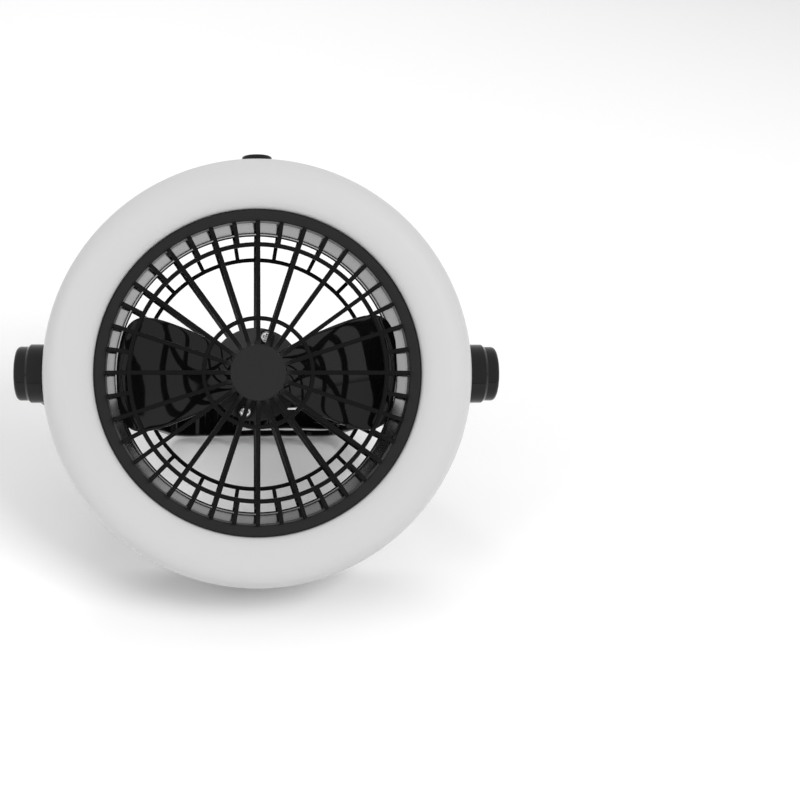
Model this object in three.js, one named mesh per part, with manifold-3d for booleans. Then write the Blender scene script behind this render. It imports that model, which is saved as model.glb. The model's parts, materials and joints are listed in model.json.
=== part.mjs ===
// Portable camping fan with a ring light, a folding strap handle and a folding hook
// Lengths are millimetres and angles are degrees.
// The fan frame has X along the handle pivots, Y towards the button and Z out of the front, with Z = 0
// at the back face. The whole fan leans back on its folded handle, and Z is up in the finished group.
import * as THREE from 'three';
import { mergeVertices } from 'three/addons/utils/BufferGeometryUtils.js';
import Module from 'manifold-3d';

const wasm = await Module();
wasm.setup();

// Shared clearances, cutter overrun and numbers of facets
const GAP = 0.3;
const OVERRUN = 1;
const WELD = 0.001;
const RING_STEPS = 40;
const BOARD_STEPS = 24;
const DISC_STEPS = 20;
const PIN_STEPS = 10;
const ROUND_STEPS = 2;
const CROWN_STEPS = 4;

// Housing: two shells that meet at a lapped seam, around a round air duct
const HOUSING = { bayMargin: 2.475, wall: 2.2, depth: 52, seamSink: 19, edgeRound: 3.5 };
const DUCT = { radius: 77.3, wall: 2, mouthRound: 1.5, shelfSink: 3, shelfThick: 2, collar: 2 };
const LAP = { depth: 4, rise: 3, wall: 1.6 };

// Ring light: a milky crowned cover over a board of light emitting chips
const DIFFUSER = { overhang: 1.4, wall: 2, lip: 2.8, crownHeight: 11.2, innerDrop: 4, ductMargin: 6 };
const CROWN_SHARE = 0.513;
const LIGHT_BOARD = { thick: 1.6, margin: 1.5 };
const CHIP = { count: 20, length: 3.5, width: 2.8, height: 1 };

// Front guard: rim, two rings and a hub plate, joined by spokes on a domed line
const BAR = { width: 2.2, depth: 2.4, crest: 1.1, spokeDrop: 0.3 };
const SPOKES = 20;
const RIM_BARS = 40;
const FRONT = { rimSink: 4.5, rimFlange: 3, rimWall: 1.8, hubRadius: 14, hubRise: 4.2, hubThick: 3 };
const GUARD_RING = { innerRadius: 27.1, shoulderWidth: 13.9, shoulderRise: 8.3, rearRise: 3.2 };
const SHOULDER_STEPS = 2;
const REAR_SHOULDER_STEPS = 2;

// Rear guard: motor plate, one ring and a seat ring inside the duct
const REAR = { plateRadius: 26.3, plateZ: -5, plateThick: 4, plateRound: 0.6 };
const REAR_SEAT = { z: 8.8, depth: 2.4, wall: 1.6 };

// Motor, its bracket and screws, and the rotor with two broad cupped blades
const MOTOR = { radius: 12, length: 24, noseRadius: 3.5, noseLength: 2, shaftRadius: 1.5, shaftDepth: 12 };
const BRACKET = { radius: 15.5, thick: 2, cupWall: 1.6, cupHeight: 7, ears: 2, firstAngle: 74 };
const EAR = { plateMargin: 0.2, radius: 4.6 };
const MOTOR_SCREW = { headRadius: 3.3, headHeight: 2, shankRadius: 1.5, shankLength: 4.4, drive: 0.8 };
const ROTOR = { hubRadius: 10.5, lift: 3.4, hubHeight: 14, hubWall: 2, noseThick: 4, noseRound: 3, boss: 4 };
const BLADE = { ductMargin: 5.3, rootSink: 1, lift: 9, chord: 60, rootChord: 22, thick: 1.8 };
const BLADE_RISE = { tip: 25, root: 15, cup: 7 };
const BLADES = 2;
const BLADE_STEPS = 8;
const BLADE_CHORD_STEPS = 6;
const BLADE_CORNER_POWER = 5;
const BLADE_WIDEN_POWER = 0.7;
const BLADE_LAST_ROW_SHARE = 0.999;
const BLADE_ROOT_REACH_SHARE = 0.6;

// Battery bays in the rear shell, each with two cells one behind the other and a hinged door
const BAY = { count: 3, firstAngle: 12, ductMargin: 2.65, springRoom: 2.95, doorRoom: 3.6, wall: 1.3 };
const DOOR = { bayMargin: 0.95, wallMargin: 2.4, endMargin: 8.3, thick: 2, seat: 1.6, seatLedge: 1.4 };
const NOTCH = { rimMargin: 1.6, length: 12, width: 1.6, depth: 1.2 };
const CELL = { radius: 7.25, length: 49.2, nubRadius: 2.75, nubLength: 1.3, perBay: 2 };
const CONTACT = { thick: 0.5, springRadius: 4, springTip: 2.6 };

// Screws that close the two shells
const CASE_SCREW = {
  count: 3, firstAngle: 72, length: 16, headRadius: 3.2, headHeight: 3, shankRadius: 1.5,
};
const CASE_BOSS = { radius: 5.5, wellGap: 0.6, wallMargin: 4.9, floorSink: 7, frontRadius: 4.2 };

// Push button in the seam at the top, its spring and the switch under it
const BUTTON = { radius: 8, round: 1, proud: 7, flange: 1.6, flangeThick: 1.4 };
const BUTTON_STEM = { radius: 2.5, length: 4.67 };
const BUTTON_TRAVEL = 2;
const SWITCH_BOARD = { width: 26, length: 22, thick: 1.6 };
const SWITCH = { size: 12, height: 5, plungerRadius: 2, plungerHeight: 2.4 };
const BOARD_RIB = { width: 2, offset: 9, length: 14 };
const BUTTON_SPRING = { radius: 5.2, wire: 0.5, turns: 4 };
const SPRING_SIDES = 5;
const SPRING_TURN_STEPS = 8;

// Handle pivots: fixed bosses and pins, with caps and washers that turn with the handle
const BOSS = { radius: 14.1, proud: 5.2, spigotRadius: 6, spigotDepth: 2.9, round: 1 };
const PIN = { radius: 3, headRadius: 5.5, headHeight: 2.2, depth: 5 };
const WASHER = { radius: 6.5, thick: 0.8 };
const CAP = { radius: 15.6, skirt: 6.5, slope: 1.4, stepRadius: 14.4, roof: 4.05, cavity: 8, round: 2 };

// Handle: one bent strap, with a wavy grip bar and a window that stows the hook
const HANDLE = { width: 22, thick: 4.5, bossGap: 0.35, barMargin: 20 };
const HANDLE_STAND_ANGLE = 77.6;
// Each pair is a share of the arm's reach and of the bar's height, from the pivot up to the end of the bar
const ARM_SHARES = [
  [1, 0], [1, 0.171], [0.988, 0.259], [0.953, 0.336], [0.811, 0.547],
  [0.649, 0.737], [0.524, 0.84], [0.481, 0.907], [0.439, 0.984], [0.378, 1.007],
];
const ARM_STEPS = 13;
const WAVE = { length: 16, height: 0.9, crestX: 23, flatX: 39 };
const WAVE_STEPS = 11;
const WINDOW = { width: 15, left: 8.3, right: 70, sill: 18, top: 14 };
const EYE = { radius: 3.1, pinRadius: 1.5, pinHeadRadius: 2, pinHeadHeight: 0.5 };

// Hook: a flat curved strip that turns on the pin in the middle of the bar
const HOOK = { width: 12, thick: 4.2, eyeRadius: 4.6, heel: 6.6, bendRadius: 9.6, bendX: 5.8, bendY: 50.2 };
const HOOK_STOWED_TURN = -90;
const HOOK_TIP = { x: 14.8, y: 38 };
// Each pair is a share of bendRadius across and a share of bendY along, from the pin up to the bend
const NECK_SHARES = [
  [0, 0], [-0.05, 0.15], [-0.13, 0.28], [-0.02, 0.42],
  [-0.03, 0.54], [-0.17, 0.67], [-0.3, 0.78], [-0.4, 0.9],
];
const NECK_STEPS = 12;
const BEND_STEPS = 10;

// Finishes
const GLOSS_BLACK = { color: 0x0c0c0d, roughness: 0.12, metalness: 0 };
const SATIN_BLACK = { color: 0x1c1c1d, roughness: 0.42, metalness: 0 };
const MILKY_WHITE = { color: 0xe8e8e6, roughness: 0.3, metalness: 0 };
const STEEL = { color: 0xc4c6c9, roughness: 0.25, metalness: 1 };
const BOARD_GREEN = { color: 0x1f5b36, roughness: 0.5, metalness: 0 };
const BOARD_WHITE = { color: 0xe4e4df, roughness: 0.5, metalness: 0 };
const CELL_SLEEVE = { color: 0x5a6066, roughness: 0.35, metalness: 0.3 };

const radians = degrees => THREE.MathUtils.degToRad(degrees);
const half = length => length / 2;

// Outline helpers
function arc(centreX, centreY, radiusX, radiusY, from, to, steps) {
  const points = [];
  for (let i = 0; i <= steps; i += 1) {
    const angle = radians(from + (to - from) * i / steps);
    points.push([centreX + radiusX * Math.cos(angle), centreY + radiusY * Math.sin(angle)]);
  }
  return points;
}

function outline(points) {
  return new THREE.Shape(points.map(([x, y]) => new THREE.Vector2(x, y)));
}

function rectangle(left, right, bottom, top) {
  return [[left, bottom], [right, bottom], [right, top], [left, top]];
}

// A closed band of even thickness along a line of points
function band(line, thickness) {
  const sides = line.map(([x, y], i) => {
    const [beforeX, beforeY] = line[Math.max(i - 1, 0)];
    const [afterX, afterY] = line[Math.min(i + 1, line.length - 1)];
    const normal = new THREE.Vector2(beforeY - afterY, afterX - beforeX).setLength(half(thickness));
    return [[x + normal.x, y + normal.y], [x - normal.x, y - normal.y]];
  });
  return [...sides.map(pair => pair[0]), ...sides.map(pair => pair[1]).reverse()];
}

function splinePoints(points, steps) {
  const curve = new THREE.CatmullRomCurve3(points.map(([x, y]) => new THREE.Vector3(x, y, 0)));
  return curve.getPoints(steps).map(point => [point.x, point.y]);
}

// Solid helpers: every geometry is welded, turned outward and made into a solid that can be joined or cut
function signedVolume(geometry) {
  const position = geometry.attributes.position;
  const index = geometry.index;
  const corner = [new THREE.Vector3(), new THREE.Vector3(), new THREE.Vector3()];
  let volume = 0;
  for (let i = 0; i < index.count; i += 3) {
    corner.forEach((point, k) => point.fromBufferAttribute(position, index.getX(i + k)));
    volume += corner[0].dot(corner[1].clone().cross(corner[2]));
  }
  return volume;
}

function welded(geometry) {
  const bare = geometry.clone();
  bare.deleteAttribute('normal');
  bare.deleteAttribute('uv');
  const joined = mergeVertices(bare, WELD);
  if (signedVolume(joined) < 0) {
    joined.setIndex(Array.from(joined.index.array).reverse());
  }
  return joined;
}

function solid(geometry) {
  const closed = welded(geometry);
  const mesh = new wasm.Mesh({
    numProp: 3,
    vertProperties: new Float32Array(closed.attributes.position.array),
    triVerts: new Uint32Array(closed.index.array),
  });
  mesh.merge();
  return new wasm.Manifold(mesh);
}

// Flat faces that a join or cut has split are made whole again
function asGeometry(body) {
  const mesh = body.asOriginal().simplify(WELD).getMesh();
  const geometry = new THREE.BufferGeometry();
  geometry.setAttribute('position', new THREE.BufferAttribute(Float32Array.from(mesh.vertProperties), 3));
  geometry.setIndex(new THREE.BufferAttribute(Uint32Array.from(mesh.triVerts), 1));
  const flat = geometry.toNonIndexed();
  flat.computeVertexNormals();
  return flat;
}

function joined(...geometries) {
  return geometries.slice(1).reduce((sum, geometry) => sum.add(solid(geometry)), solid(geometries[0]));
}

function cut(body, ...geometries) {
  return geometries.reduce((rest, geometry) => rest.subtract(solid(geometry)), body);
}

function turned(profile, steps) {
  const points = [...profile, profile[0]].map(([r, z]) => new THREE.Vector2(r, z));
  return new THREE.LatheGeometry(points, steps).rotateX(Math.PI / 2);
}

// A ring of the guards, with a facet and not an edge behind each bar
function guardTurned(profile) {
  return turned(profile, RING_STEPS).rotateZ(Math.PI / RING_STEPS);
}

function spun(profile, steps) {
  const points = profile.map(([r, z]) => new THREE.Vector2(r, z));
  return new THREE.LatheGeometry(points, steps).rotateX(Math.PI / 2);
}

function tube(innerRadius, outerRadius, low, high, steps) {
  return turned(rectangle(innerRadius, outerRadius, low, high), steps);
}

function disc(radius, low, high, steps) {
  return spun([[0, low], [radius, low], [radius, high], [0, high]], steps);
}

function prism(points, low, high) {
  const depth = high - low;
  return new THREE.ExtrudeGeometry(outline(points), { depth, bevelEnabled: false }).translate(0, 0, low);
}

// A plate whose outline is drawn as radius and height, stood on edge across a radius of the fan
function radialPlate(points, width, angle) {
  const plate = prism(points, -half(width), half(width)).rotateX(Math.PI / 2);
  return plate.rotateZ(radians(angle));
}

function alongX(geometry) {
  return geometry.rotateY(Math.PI / 2);
}

function alongY(geometry) {
  return geometry.rotateX(-Math.PI / 2);
}

function box(left, right, near, far, low, high) {
  const geometry = new THREE.BoxGeometry(right - left, far - near, high - low);
  return geometry.translate(half(left + right), half(near + far), half(low + high));
}

function part(parent, name, geometry, finish) {
  const mesh = new THREE.Mesh(geometry, new THREE.MeshStandardMaterial(finish));
  mesh.name = name;
  parent.add(mesh);
  return mesh;
}

function evenAngles(count, first) {
  return Array.from({ length: count }, (_, i) => first + i * 360 / count);
}

// Places shared by several pieces
const ductOuter = DUCT.radius + DUCT.wall;
const bayWidth = (CELL.radius + GAP) * 2;
const bayLength = CELL.length + CELL.nubLength + BAY.springRoom * 2;
const bayDepth = (CELL.radius * 2 + GAP) * CELL.perBay + BAY.doorRoom;
const bayFloor = DOOR.thick + GAP + bayDepth;
const bayReach = ductOuter + BAY.ductMargin + BAY.wall + half(bayWidth);
const bayCorner = Math.hypot(bayReach + half(bayWidth) + BAY.wall, half(bayLength) + BAY.wall);
const wallInner = bayCorner + HOUSING.bayMargin;
const wallOuter = wallInner + HOUSING.wall;
const seamZ = HOUSING.depth - HOUSING.seamSink;
const shelfZ = HOUSING.depth - DUCT.shelfSink;
const shelfTop = shelfZ + DUCT.shelfThick;
const collarTop = shelfTop + DUCT.collar;
const crownOuter = wallOuter + DIFFUSER.overhang;
const crownInner = DUCT.radius + DIFFUSER.ductMargin;
const equatorZ = HOUSING.depth + DIFFUSER.lip;
const crownZ = equatorZ + DIFFUSER.crownHeight;
const rimZ = crownZ - FRONT.rimSink;
const ringRadius = DUCT.radius + half(FRONT.rimWall) - GUARD_RING.shoulderWidth;
const ringZ = rimZ + GUARD_RING.shoulderRise;
const rearRingZ = REAR.plateZ + GUARD_RING.rearRise;
const hubFace = ringZ + FRONT.hubRise;
const doorInner = bayReach - half(bayWidth) - DOOR.bayMargin;
const doorOuter = wallInner - DOOR.wallMargin;
const doorSide = half(bayLength) + DOOR.endMargin;
const caseReach = wallInner - CASE_BOSS.radius - CASE_BOSS.wallMargin;
const caseFloor = seamZ - CASE_BOSS.floorSink;
const earReach = REAR.plateRadius - EAR.radius - EAR.plateMargin;
const bayAngles = evenAngles(BAY.count, BAY.firstAngle);
const screwAngles = evenAngles(CASE_SCREW.count, CASE_SCREW.firstAngle);
const bracketAngles = evenAngles(BRACKET.ears, BRACKET.firstAngle);
const bracketZ = REAR.plateZ + REAR.plateThick + GAP;
const bracketTop = bracketZ + BRACKET.thick;
const motorZ = bracketTop + GAP;
const noseZ = motorZ + MOTOR.length;
const screwTip = bracketTop + GAP - MOTOR_SCREW.shankLength;
const rotorZ = noseZ + MOTOR.noseLength + ROTOR.lift;
const shaftTop = rotorZ + ROTOR.hubHeight - ROTOR.noseThick;
const buttonTip = wallOuter + BUTTON.proud;
const flangeRadius = BUTTON.radius + BUTTON.flange;
const flangeTop = Math.sqrt(wallInner ** 2 - flangeRadius ** 2) - GAP;
const flangeLow = flangeTop - BUTTON.flangeThick;
const stemLow = flangeLow - BUTTON_STEM.length;
const switchTop = stemLow - GAP - BUTTON_TRAVEL - SWITCH.plungerHeight;
const boardTop = switchTop - SWITCH.height - GAP;
const boardLow = boardTop - SWITCH_BOARD.thick;
const bossReach = wallOuter + BOSS.proud;
const armReach = bossReach + HANDLE.bossGap + half(HANDLE.thick);
const barHeight = wallOuter + HANDLE.barMargin;
const strapOuter = armReach + half(HANDLE.thick);
const washerLow = strapOuter + GAP;
const pinHeadLow = washerLow + WASHER.thick + GAP;

// The door's plan, drawn with its radius along X and grown evenly for the recess round it
function doorPlan(grow, innerGrow) {
  const reach = doorOuter + grow;
  const side = doorSide + grow;
  const turn = THREE.MathUtils.radToDeg(Math.asin(side / reach));
  return [[doorInner - innerGrow, side], [doorInner - innerGrow, -side],
    ...arc(0, 0, reach, reach, -turn, turn, CROWN_STEPS)];
}

function bayBox(grow, low, high) {
  const width = half(bayWidth) + grow;
  const length = half(bayLength) + grow;
  return box(bayReach - width, bayReach + width, -length, length, low, high);
}

// Rear shell: back face with the duct's rounded mouth, outer wall, battery bays and screw wells
function rearHousing() {
  const { wall, edgeRound } = HOUSING;
  const mouth = DUCT.mouthRound;
  const shell = turned([
    [DUCT.radius, wall],
    ...arc(DUCT.radius + mouth, mouth, mouth, mouth, 180, 270, ROUND_STEPS),
    ...arc(wallOuter - edgeRound, edgeRound, edgeRound, edgeRound, 270, 360, ROUND_STEPS),
    [wallOuter, seamZ], [wallInner, seamZ], [wallInner, wall + wall], [wallInner - wall, wall],
  ], RING_STEPS);
  const seatTop = DOOR.thick + GAP + DOOR.seat;
  const knuckle = half(DOOR.thick) + GAP;
  const well = CASE_SCREW.headRadius + CASE_BOSS.wellGap;
  const added = [];
  const removed = [];
  for (const angle of bayAngles) {
    const turn = radians(angle);
    const seat = prism(doorPlan(DOOR.seatLedge, DOOR.seatLedge + half(DOOR.thick)), half(wall), seatTop);
    added.push(seat.rotateZ(turn), bayBox(BAY.wall, wall, bayFloor + BAY.wall).rotateZ(turn));
    removed.push(prism(doorPlan(GAP, knuckle), -OVERRUN, DOOR.thick + GAP).rotateZ(turn));
    removed.push(bayBox(0, -OVERRUN, bayFloor).rotateZ(turn));
  }
  for (const angle of screwAngles) {
    added.push(screwPlace(disc(CASE_BOSS.radius, half(wall), seamZ - LAP.rise, PIN_STEPS), angle));
    removed.push(screwPlace(disc(well, -OVERRUN, caseFloor, PIN_STEPS), angle));
    removed.push(screwPlace(disc(CASE_SCREW.shankRadius + GAP, -OVERRUN, seamZ, PIN_STEPS), angle));
  }
  removed.push(buttonHole(), pivotHole(-1), pivotHole(1));
  return cut(joined(shell, ...added), ...removed);
}

// Air duct: a round tube from the rear shell's floor to the front shell's shelf, with two ribs for the board
function airDuct() {
  const ribLow = seamZ - half(BOARD_RIB.length);
  const ribFoot = DUCT.radius + half(DUCT.wall);
  const ribs = [-1, 1].map(side => {
    const left = side * BOARD_RIB.offset - half(BOARD_RIB.width);
    return box(left, left + BOARD_RIB.width, ribFoot, boardLow - GAP, ribLow, seamZ);
  });
  return joined(tube(DUCT.radius, ductOuter, HOUSING.wall + GAP, shelfZ - GAP, RING_STEPS), ...ribs);
}

function screwPlace(geometry, angle) {
  return geometry.translate(caseReach, 0, 0).rotateZ(radians(angle));
}

// Round holes that cross the seam: one for the button and one for each pivot spigot
function seamHole(radius, steps) {
  return disc(radius + GAP, wallInner - HOUSING.wall * 2, wallOuter + OVERRUN, steps);
}

function buttonHole() {
  return alongY(seamHole(BUTTON.radius, DISC_STEPS)).translate(0, 0, seamZ);
}

function pivotHole(way) {
  return seamHole(BOSS.spigotRadius, PIN_STEPS).rotateY(way * Math.PI / 2).translate(0, 0, seamZ);
}

// Front shell: outer wall with the lap, the shelf that carries the light and the collar under the guard
function frontHousing() {
  const lapOuter = wallInner - GAP;
  const lapInner = lapOuter - LAP.wall;
  const shell = turned([
    [wallOuter, seamZ + GAP], [wallOuter, HOUSING.depth], [wallInner, HOUSING.depth], [wallInner, shelfTop],
    [ductOuter, shelfTop], [ductOuter, collarTop], [DUCT.radius, collarTop], [DUCT.radius, shelfZ],
    [wallInner, shelfZ], [wallInner, seamZ + LAP.rise], [lapInner, seamZ + LAP.rise],
    [lapInner, seamZ - LAP.depth], [lapOuter, seamZ - LAP.depth], [lapOuter, seamZ + GAP],
  ], RING_STEPS);
  const shankTop = caseFloor + GAP + CASE_SCREW.length + GAP;
  const bossTop = shelfZ + half(DUCT.shelfThick);
  const added = [];
  const removed = [];
  for (const angle of screwAngles) {
    added.push(screwPlace(disc(CASE_BOSS.frontRadius, seamZ - LAP.rise + GAP, bossTop, PIN_STEPS), angle));
    removed.push(screwPlace(disc(CASE_SCREW.shankRadius + GAP, 0, shankTop, PIN_STEPS), angle));
  }
  const flangeWell = disc(flangeRadius + GAP, boardLow, flangeTop + GAP, DISC_STEPS);
  removed.push(alongY(flangeWell).translate(0, 0, seamZ), buttonHole());
  removed.push(pivotHole(-1), pivotHole(1));
  return cut(joined(shell, ...added), ...removed);
}

// Milky cover: an evenly thick crown, with an outer lip on the shell and an inner skirt on the shelf
function lightDiffuser() {
  const { wall } = DIFFUSER;
  const low = HOUSING.depth + GAP;
  const crownRadius = crownInner + (crownOuter - crownInner) * CROWN_SHARE;
  const outerWide = crownOuter - crownRadius;
  const innerWide = crownRadius - crownInner;
  const outerHigh = DIFFUSER.crownHeight;
  const innerHigh = DIFFUSER.innerDrop;
  const innerZ = crownZ - innerHigh;
  const lowAngle = -THREE.MathUtils.radToDeg(Math.asin((equatorZ - low) / outerHigh));
  return turned([
    [wallInner, low],
    ...arc(crownRadius, equatorZ, outerWide, outerHigh, lowAngle, 90, CROWN_STEPS),
    ...arc(crownRadius, innerZ, innerWide, innerHigh, 90, 180, CROWN_STEPS).slice(1),
    [crownInner, shelfTop + GAP], [crownInner + wall, shelfTop + GAP],
    ...arc(crownRadius, innerZ - wall, innerWide - wall, innerHigh, 180, 90, 1),
    ...arc(crownRadius, equatorZ, outerWide - wall, outerHigh - wall, 90, 0, ROUND_STEPS).slice(1),
    [wallInner, equatorZ],
  ], RING_STEPS);
}

// Ring board with its chips soldered on
function lightBoard() {
  const { thick, margin } = LIGHT_BOARD;
  const innerRadius = crownInner + DIFFUSER.wall + margin;
  const outerRadius = wallInner - margin;
  const chipRadius = half(innerRadius + outerRadius);
  const low = shelfTop + GAP;
  const high = low + thick;
  const reach = half(CHIP.width);
  const side = half(CHIP.length);
  const chipTop = high + CHIP.height;
  const chip = box(chipRadius - reach, chipRadius + reach, -side, side, low + half(thick), chipTop);
  const chips = evenAngles(CHIP.count, 0).map(angle => chip.clone().rotateZ(radians(angle)));
  return joined(tube(innerRadius, outerRadius, low, high, BOARD_STEPS), ...chips);
}

// Front surface of the front guard: a shallow dome out to the outer ring, then a round shoulder
function domeHeight(radius) {
  const share = radius / ringRadius;
  return hubFace - FRONT.hubRise * share * share;
}

function guardRing(radius, frontZ) {
  const reach = half(BAR.width);
  const crest = half(BAR.crest);
  return guardTurned([
    [radius - reach, frontZ - BAR.depth], [radius + reach, frontZ - BAR.depth],
    [radius + crest, frontZ], [radius - crest, frontZ],
  ]);
}

// The wheel of the front guard: hub plate, two rings and the spokes
function frontGuard() {
  const hub = spun([
    [0, hubFace - FRONT.hubThick], [FRONT.hubRadius, hubFace - FRONT.hubThick],
    [FRONT.hubRadius, hubFace - GAP], [FRONT.hubRadius - GAP, hubFace], [0, hubFace],
  ], DISC_STEPS);
  const stops = [FRONT.hubRadius - OVERRUN, GUARD_RING.innerRadius, ringRadius];
  const top = stops.map(radius => [radius, domeHeight(radius) - BAR.spokeDrop]);
  const under = stops.map(radius => [radius, domeHeight(radius) - BAR.depth]).reverse();
  const spokes = evenAngles(SPOKES, 0).map(angle => radialPlate([...top, ...under], BAR.width, angle));
  const innerZ = domeHeight(GUARD_RING.innerRadius);
  return joined(hub, guardRing(ringRadius, ringZ), guardRing(GUARD_RING.innerRadius, innerZ), ...spokes);
}

// Room round the wheel of a guard, inside the bars of its cage
function wheelRoom(low, high) {
  const reach = ringRadius + half(BAR.width) + GAP;
  return guardTurned([[0, low], [reach, low], [reach, high], [0, high]]);
}

// The cage of the front guard: its rim, and the bars that curve in to the wheel
function frontCage() {
  const rimWall = DUCT.radius + FRONT.rimWall;
  const rimOuter = crownInner - GAP;
  const flangeZ = rimZ - FRONT.rimFlange;
  const rim = guardTurned([
    [DUCT.radius, collarTop + GAP], [rimWall, collarTop + GAP], [rimWall, flangeZ], [rimOuter, flangeZ],
    [rimOuter, rimZ], [DUCT.radius, rimZ],
  ]);
  const foot = rimZ - half(FRONT.rimFlange);
  const drop = ringZ - foot;
  const wide = GUARD_RING.shoulderWidth;
  const shoulder = [
    ...arc(ringRadius, foot, wide, drop - BAR.spokeDrop, 90, 0, SHOULDER_STEPS),
    ...arc(ringRadius, foot, wide - BAR.depth, drop - BAR.depth, 0, 90, SHOULDER_STEPS - 1),
  ];
  const bars = evenAngles(RIM_BARS, 0).map(angle => radialPlate(shoulder, BAR.width, angle));
  return cut(joined(rim, ...bars), wheelRoom(foot, hubFace));
}

// The wheel of the rear guard, which carries the motor on its plate
function rearGuard() {
  const { plateRadius, plateZ, plateThick, plateRound } = REAR;
  const plateTop = plateZ + plateThick;
  const plateEdge = plateRadius - plateRound;
  const plate = spun([
    [0, plateZ],
    ...arc(plateEdge, plateZ + plateRound, plateRound, plateRound, 270, 360, ROUND_STEPS),
    [plateRadius, plateTop], [0, plateTop],
  ], DISC_STEPS);
  const ring = guardRing(ringRadius, -rearRingZ).rotateX(Math.PI);
  const start = plateRadius - OVERRUN;
  const spokeLine = [
    [start, plateZ + plateRound], [ringRadius, rearRingZ + BAR.spokeDrop],
    [ringRadius, rearRingZ + BAR.depth], [start, plateZ + plateRound + BAR.depth],
  ];
  const spokes = evenAngles(SPOKES, 0).map(angle => radialPlate(spokeLine, BAR.width, angle));
  const hole = disc(MOTOR_SCREW.shankRadius + GAP, screwTip - GAP, plateTop + OVERRUN, PIN_STEPS);
  const holes = bracketAngles.map(angle => earPlace(hole.clone(), angle));
  return cut(joined(plate, ring, ...spokes), ...holes);
}

// The cage of the rear guard: a seat ring inside the duct, and the bars that curve in to the wheel
function rearCage() {
  const seatOuter = DUCT.radius - GAP;
  const seatTop = REAR_SEAT.z + REAR_SEAT.depth;
  const seat = guardTurned(rectangle(seatOuter - REAR_SEAT.wall, seatOuter, REAR_SEAT.z, seatTop));
  const middle = seatTop - half(REAR_SEAT.depth);
  const drop = middle - rearRingZ;
  const wide = seatOuter - ringRadius;
  const shoulder = [
    ...arc(ringRadius, middle, wide - GAP, drop - BAR.spokeDrop, 270, 360, REAR_SHOULDER_STEPS),
    ...arc(ringRadius, middle, wide - BAR.depth, drop - BAR.depth, 360, 270, REAR_SHOULDER_STEPS - 1),
  ];
  const bars = evenAngles(RIM_BARS, 0).map(angle => radialPlate(shoulder, BAR.width, angle));
  return cut(joined(seat, ...bars), wheelRoom(REAR.plateZ, middle));
}

// Motor bracket: a plate with two ears and a cup for the motor can
function earPlace(geometry, angle) {
  return geometry.translate(earReach, 0, 0).rotateZ(radians(angle));
}

function motorBracket() {
  const cupInner = MOTOR.radius + GAP;
  const cupTop = bracketTop + BRACKET.cupHeight;
  const cup = tube(cupInner, cupInner + BRACKET.cupWall, bracketZ, cupTop, DISC_STEPS);
  const arm = box(0, earReach, -EAR.radius, EAR.radius, bracketZ, bracketTop);
  const arms = bracketAngles.map(angle => arm.clone().rotateZ(radians(angle)));
  const ear = disc(EAR.radius, bracketZ, bracketTop, PIN_STEPS);
  const ears = bracketAngles.map(angle => earPlace(ear.clone(), angle));
  const hole = disc(MOTOR_SCREW.shankRadius + GAP, bracketZ - OVERRUN, bracketTop + OVERRUN, PIN_STEPS);
  const holes = bracketAngles.map(angle => earPlace(hole.clone(), angle));
  const plate = disc(BRACKET.radius, bracketZ, bracketTop, DISC_STEPS);
  return cut(joined(plate, cup, ...arms, ...ears), ...holes);
}

function motorScrew(angle) {
  const { headRadius, headHeight, shankRadius, drive } = MOTOR_SCREW;
  const low = bracketTop + GAP;
  const high = low + headHeight;
  const profile = [
    [0, screwTip], [shankRadius, screwTip], [shankRadius, low], [headRadius, low],
    [headRadius, low + half(headHeight)], [half(headRadius), high], [0, high],
  ];
  const reach = half(headRadius);
  const slot = box(-reach, reach, -half(drive), half(drive), high - drive, high + OVERRUN);
  const crossed = slot.clone().rotateZ(Math.PI / 2);
  return earPlace(asGeometry(cut(solid(spun(profile, PIN_STEPS)), slot, crossed)), angle);
}

function motorCan() {
  const { radius, noseRadius, noseLength, shaftRadius, shaftDepth } = MOTOR;
  const edge = half(BRACKET.cupWall);
  const can = spun([
    [0, motorZ], [radius, motorZ], [radius, noseZ - edge], [radius - edge, noseZ],
    [noseRadius, noseZ], [noseRadius, noseZ + noseLength], [0, noseZ + noseLength],
  ], DISC_STEPS);
  const boreLow = noseZ - shaftDepth - GAP;
  return cut(solid(can), disc(shaftRadius + GAP, boreLow, noseZ + noseLength + OVERRUN, PIN_STEPS));
}

// Rotor: hollow hub with a boss for the shaft, and blades that widen and cup towards their tips
function motorShaft() {
  return disc(MOTOR.shaftRadius, noseZ - MOTOR.shaftDepth, shaftTop, PIN_STEPS);
}

function blade() {
  const { chord, rootChord, thick } = BLADE;
  const tipRadius = DUCT.radius - BLADE.ductMargin;
  const rootRadius = ROTOR.hubRadius - BLADE.rootSink;
  const midZ = rotorZ + BLADE.lift;
  const across = BLADE_CHORD_STEPS;
  const rows = [];
  for (let i = 0; i <= BLADE_STEPS; i += 1) {
    const along = i / BLADE_STEPS;
    const radius = rootRadius + (tipRadius - rootRadius) * Math.sin(along * Math.PI / 2);
    const share = (radius - rootRadius) / (tipRadius - rootRadius);
    const power = BLADE_CORNER_POWER;
    const corner = (1 - Math.min(share, BLADE_LAST_ROW_SHARE) ** power) ** (1 / power);
    const width = rootChord + (chord - rootChord) * share ** BLADE_WIDEN_POWER;
    const spread = Math.max(half(width) * corner, half(thick));
    const rise = BLADE_RISE.root + (BLADE_RISE.tip - BLADE_RISE.root) * share;
    const row = [];
    for (let k = 0; k <= across; k += 1) {
      const side = 2 * k / across - 1;
      const height = half(rise) * side * corner - BLADE_RISE.cup * share * (1 - side * side) * corner;
      const reach = Math.sqrt(Math.max(radius * radius - (spread * side) ** 2, 0));
      const inward = rootRadius * BLADE_ROOT_REACH_SHARE;
      row.push(new THREE.Vector3(Math.max(reach, inward), spread * side, midZ + height));
    }
    rows.push(row);
  }
  return sheet(rows, thick);
}

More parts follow.
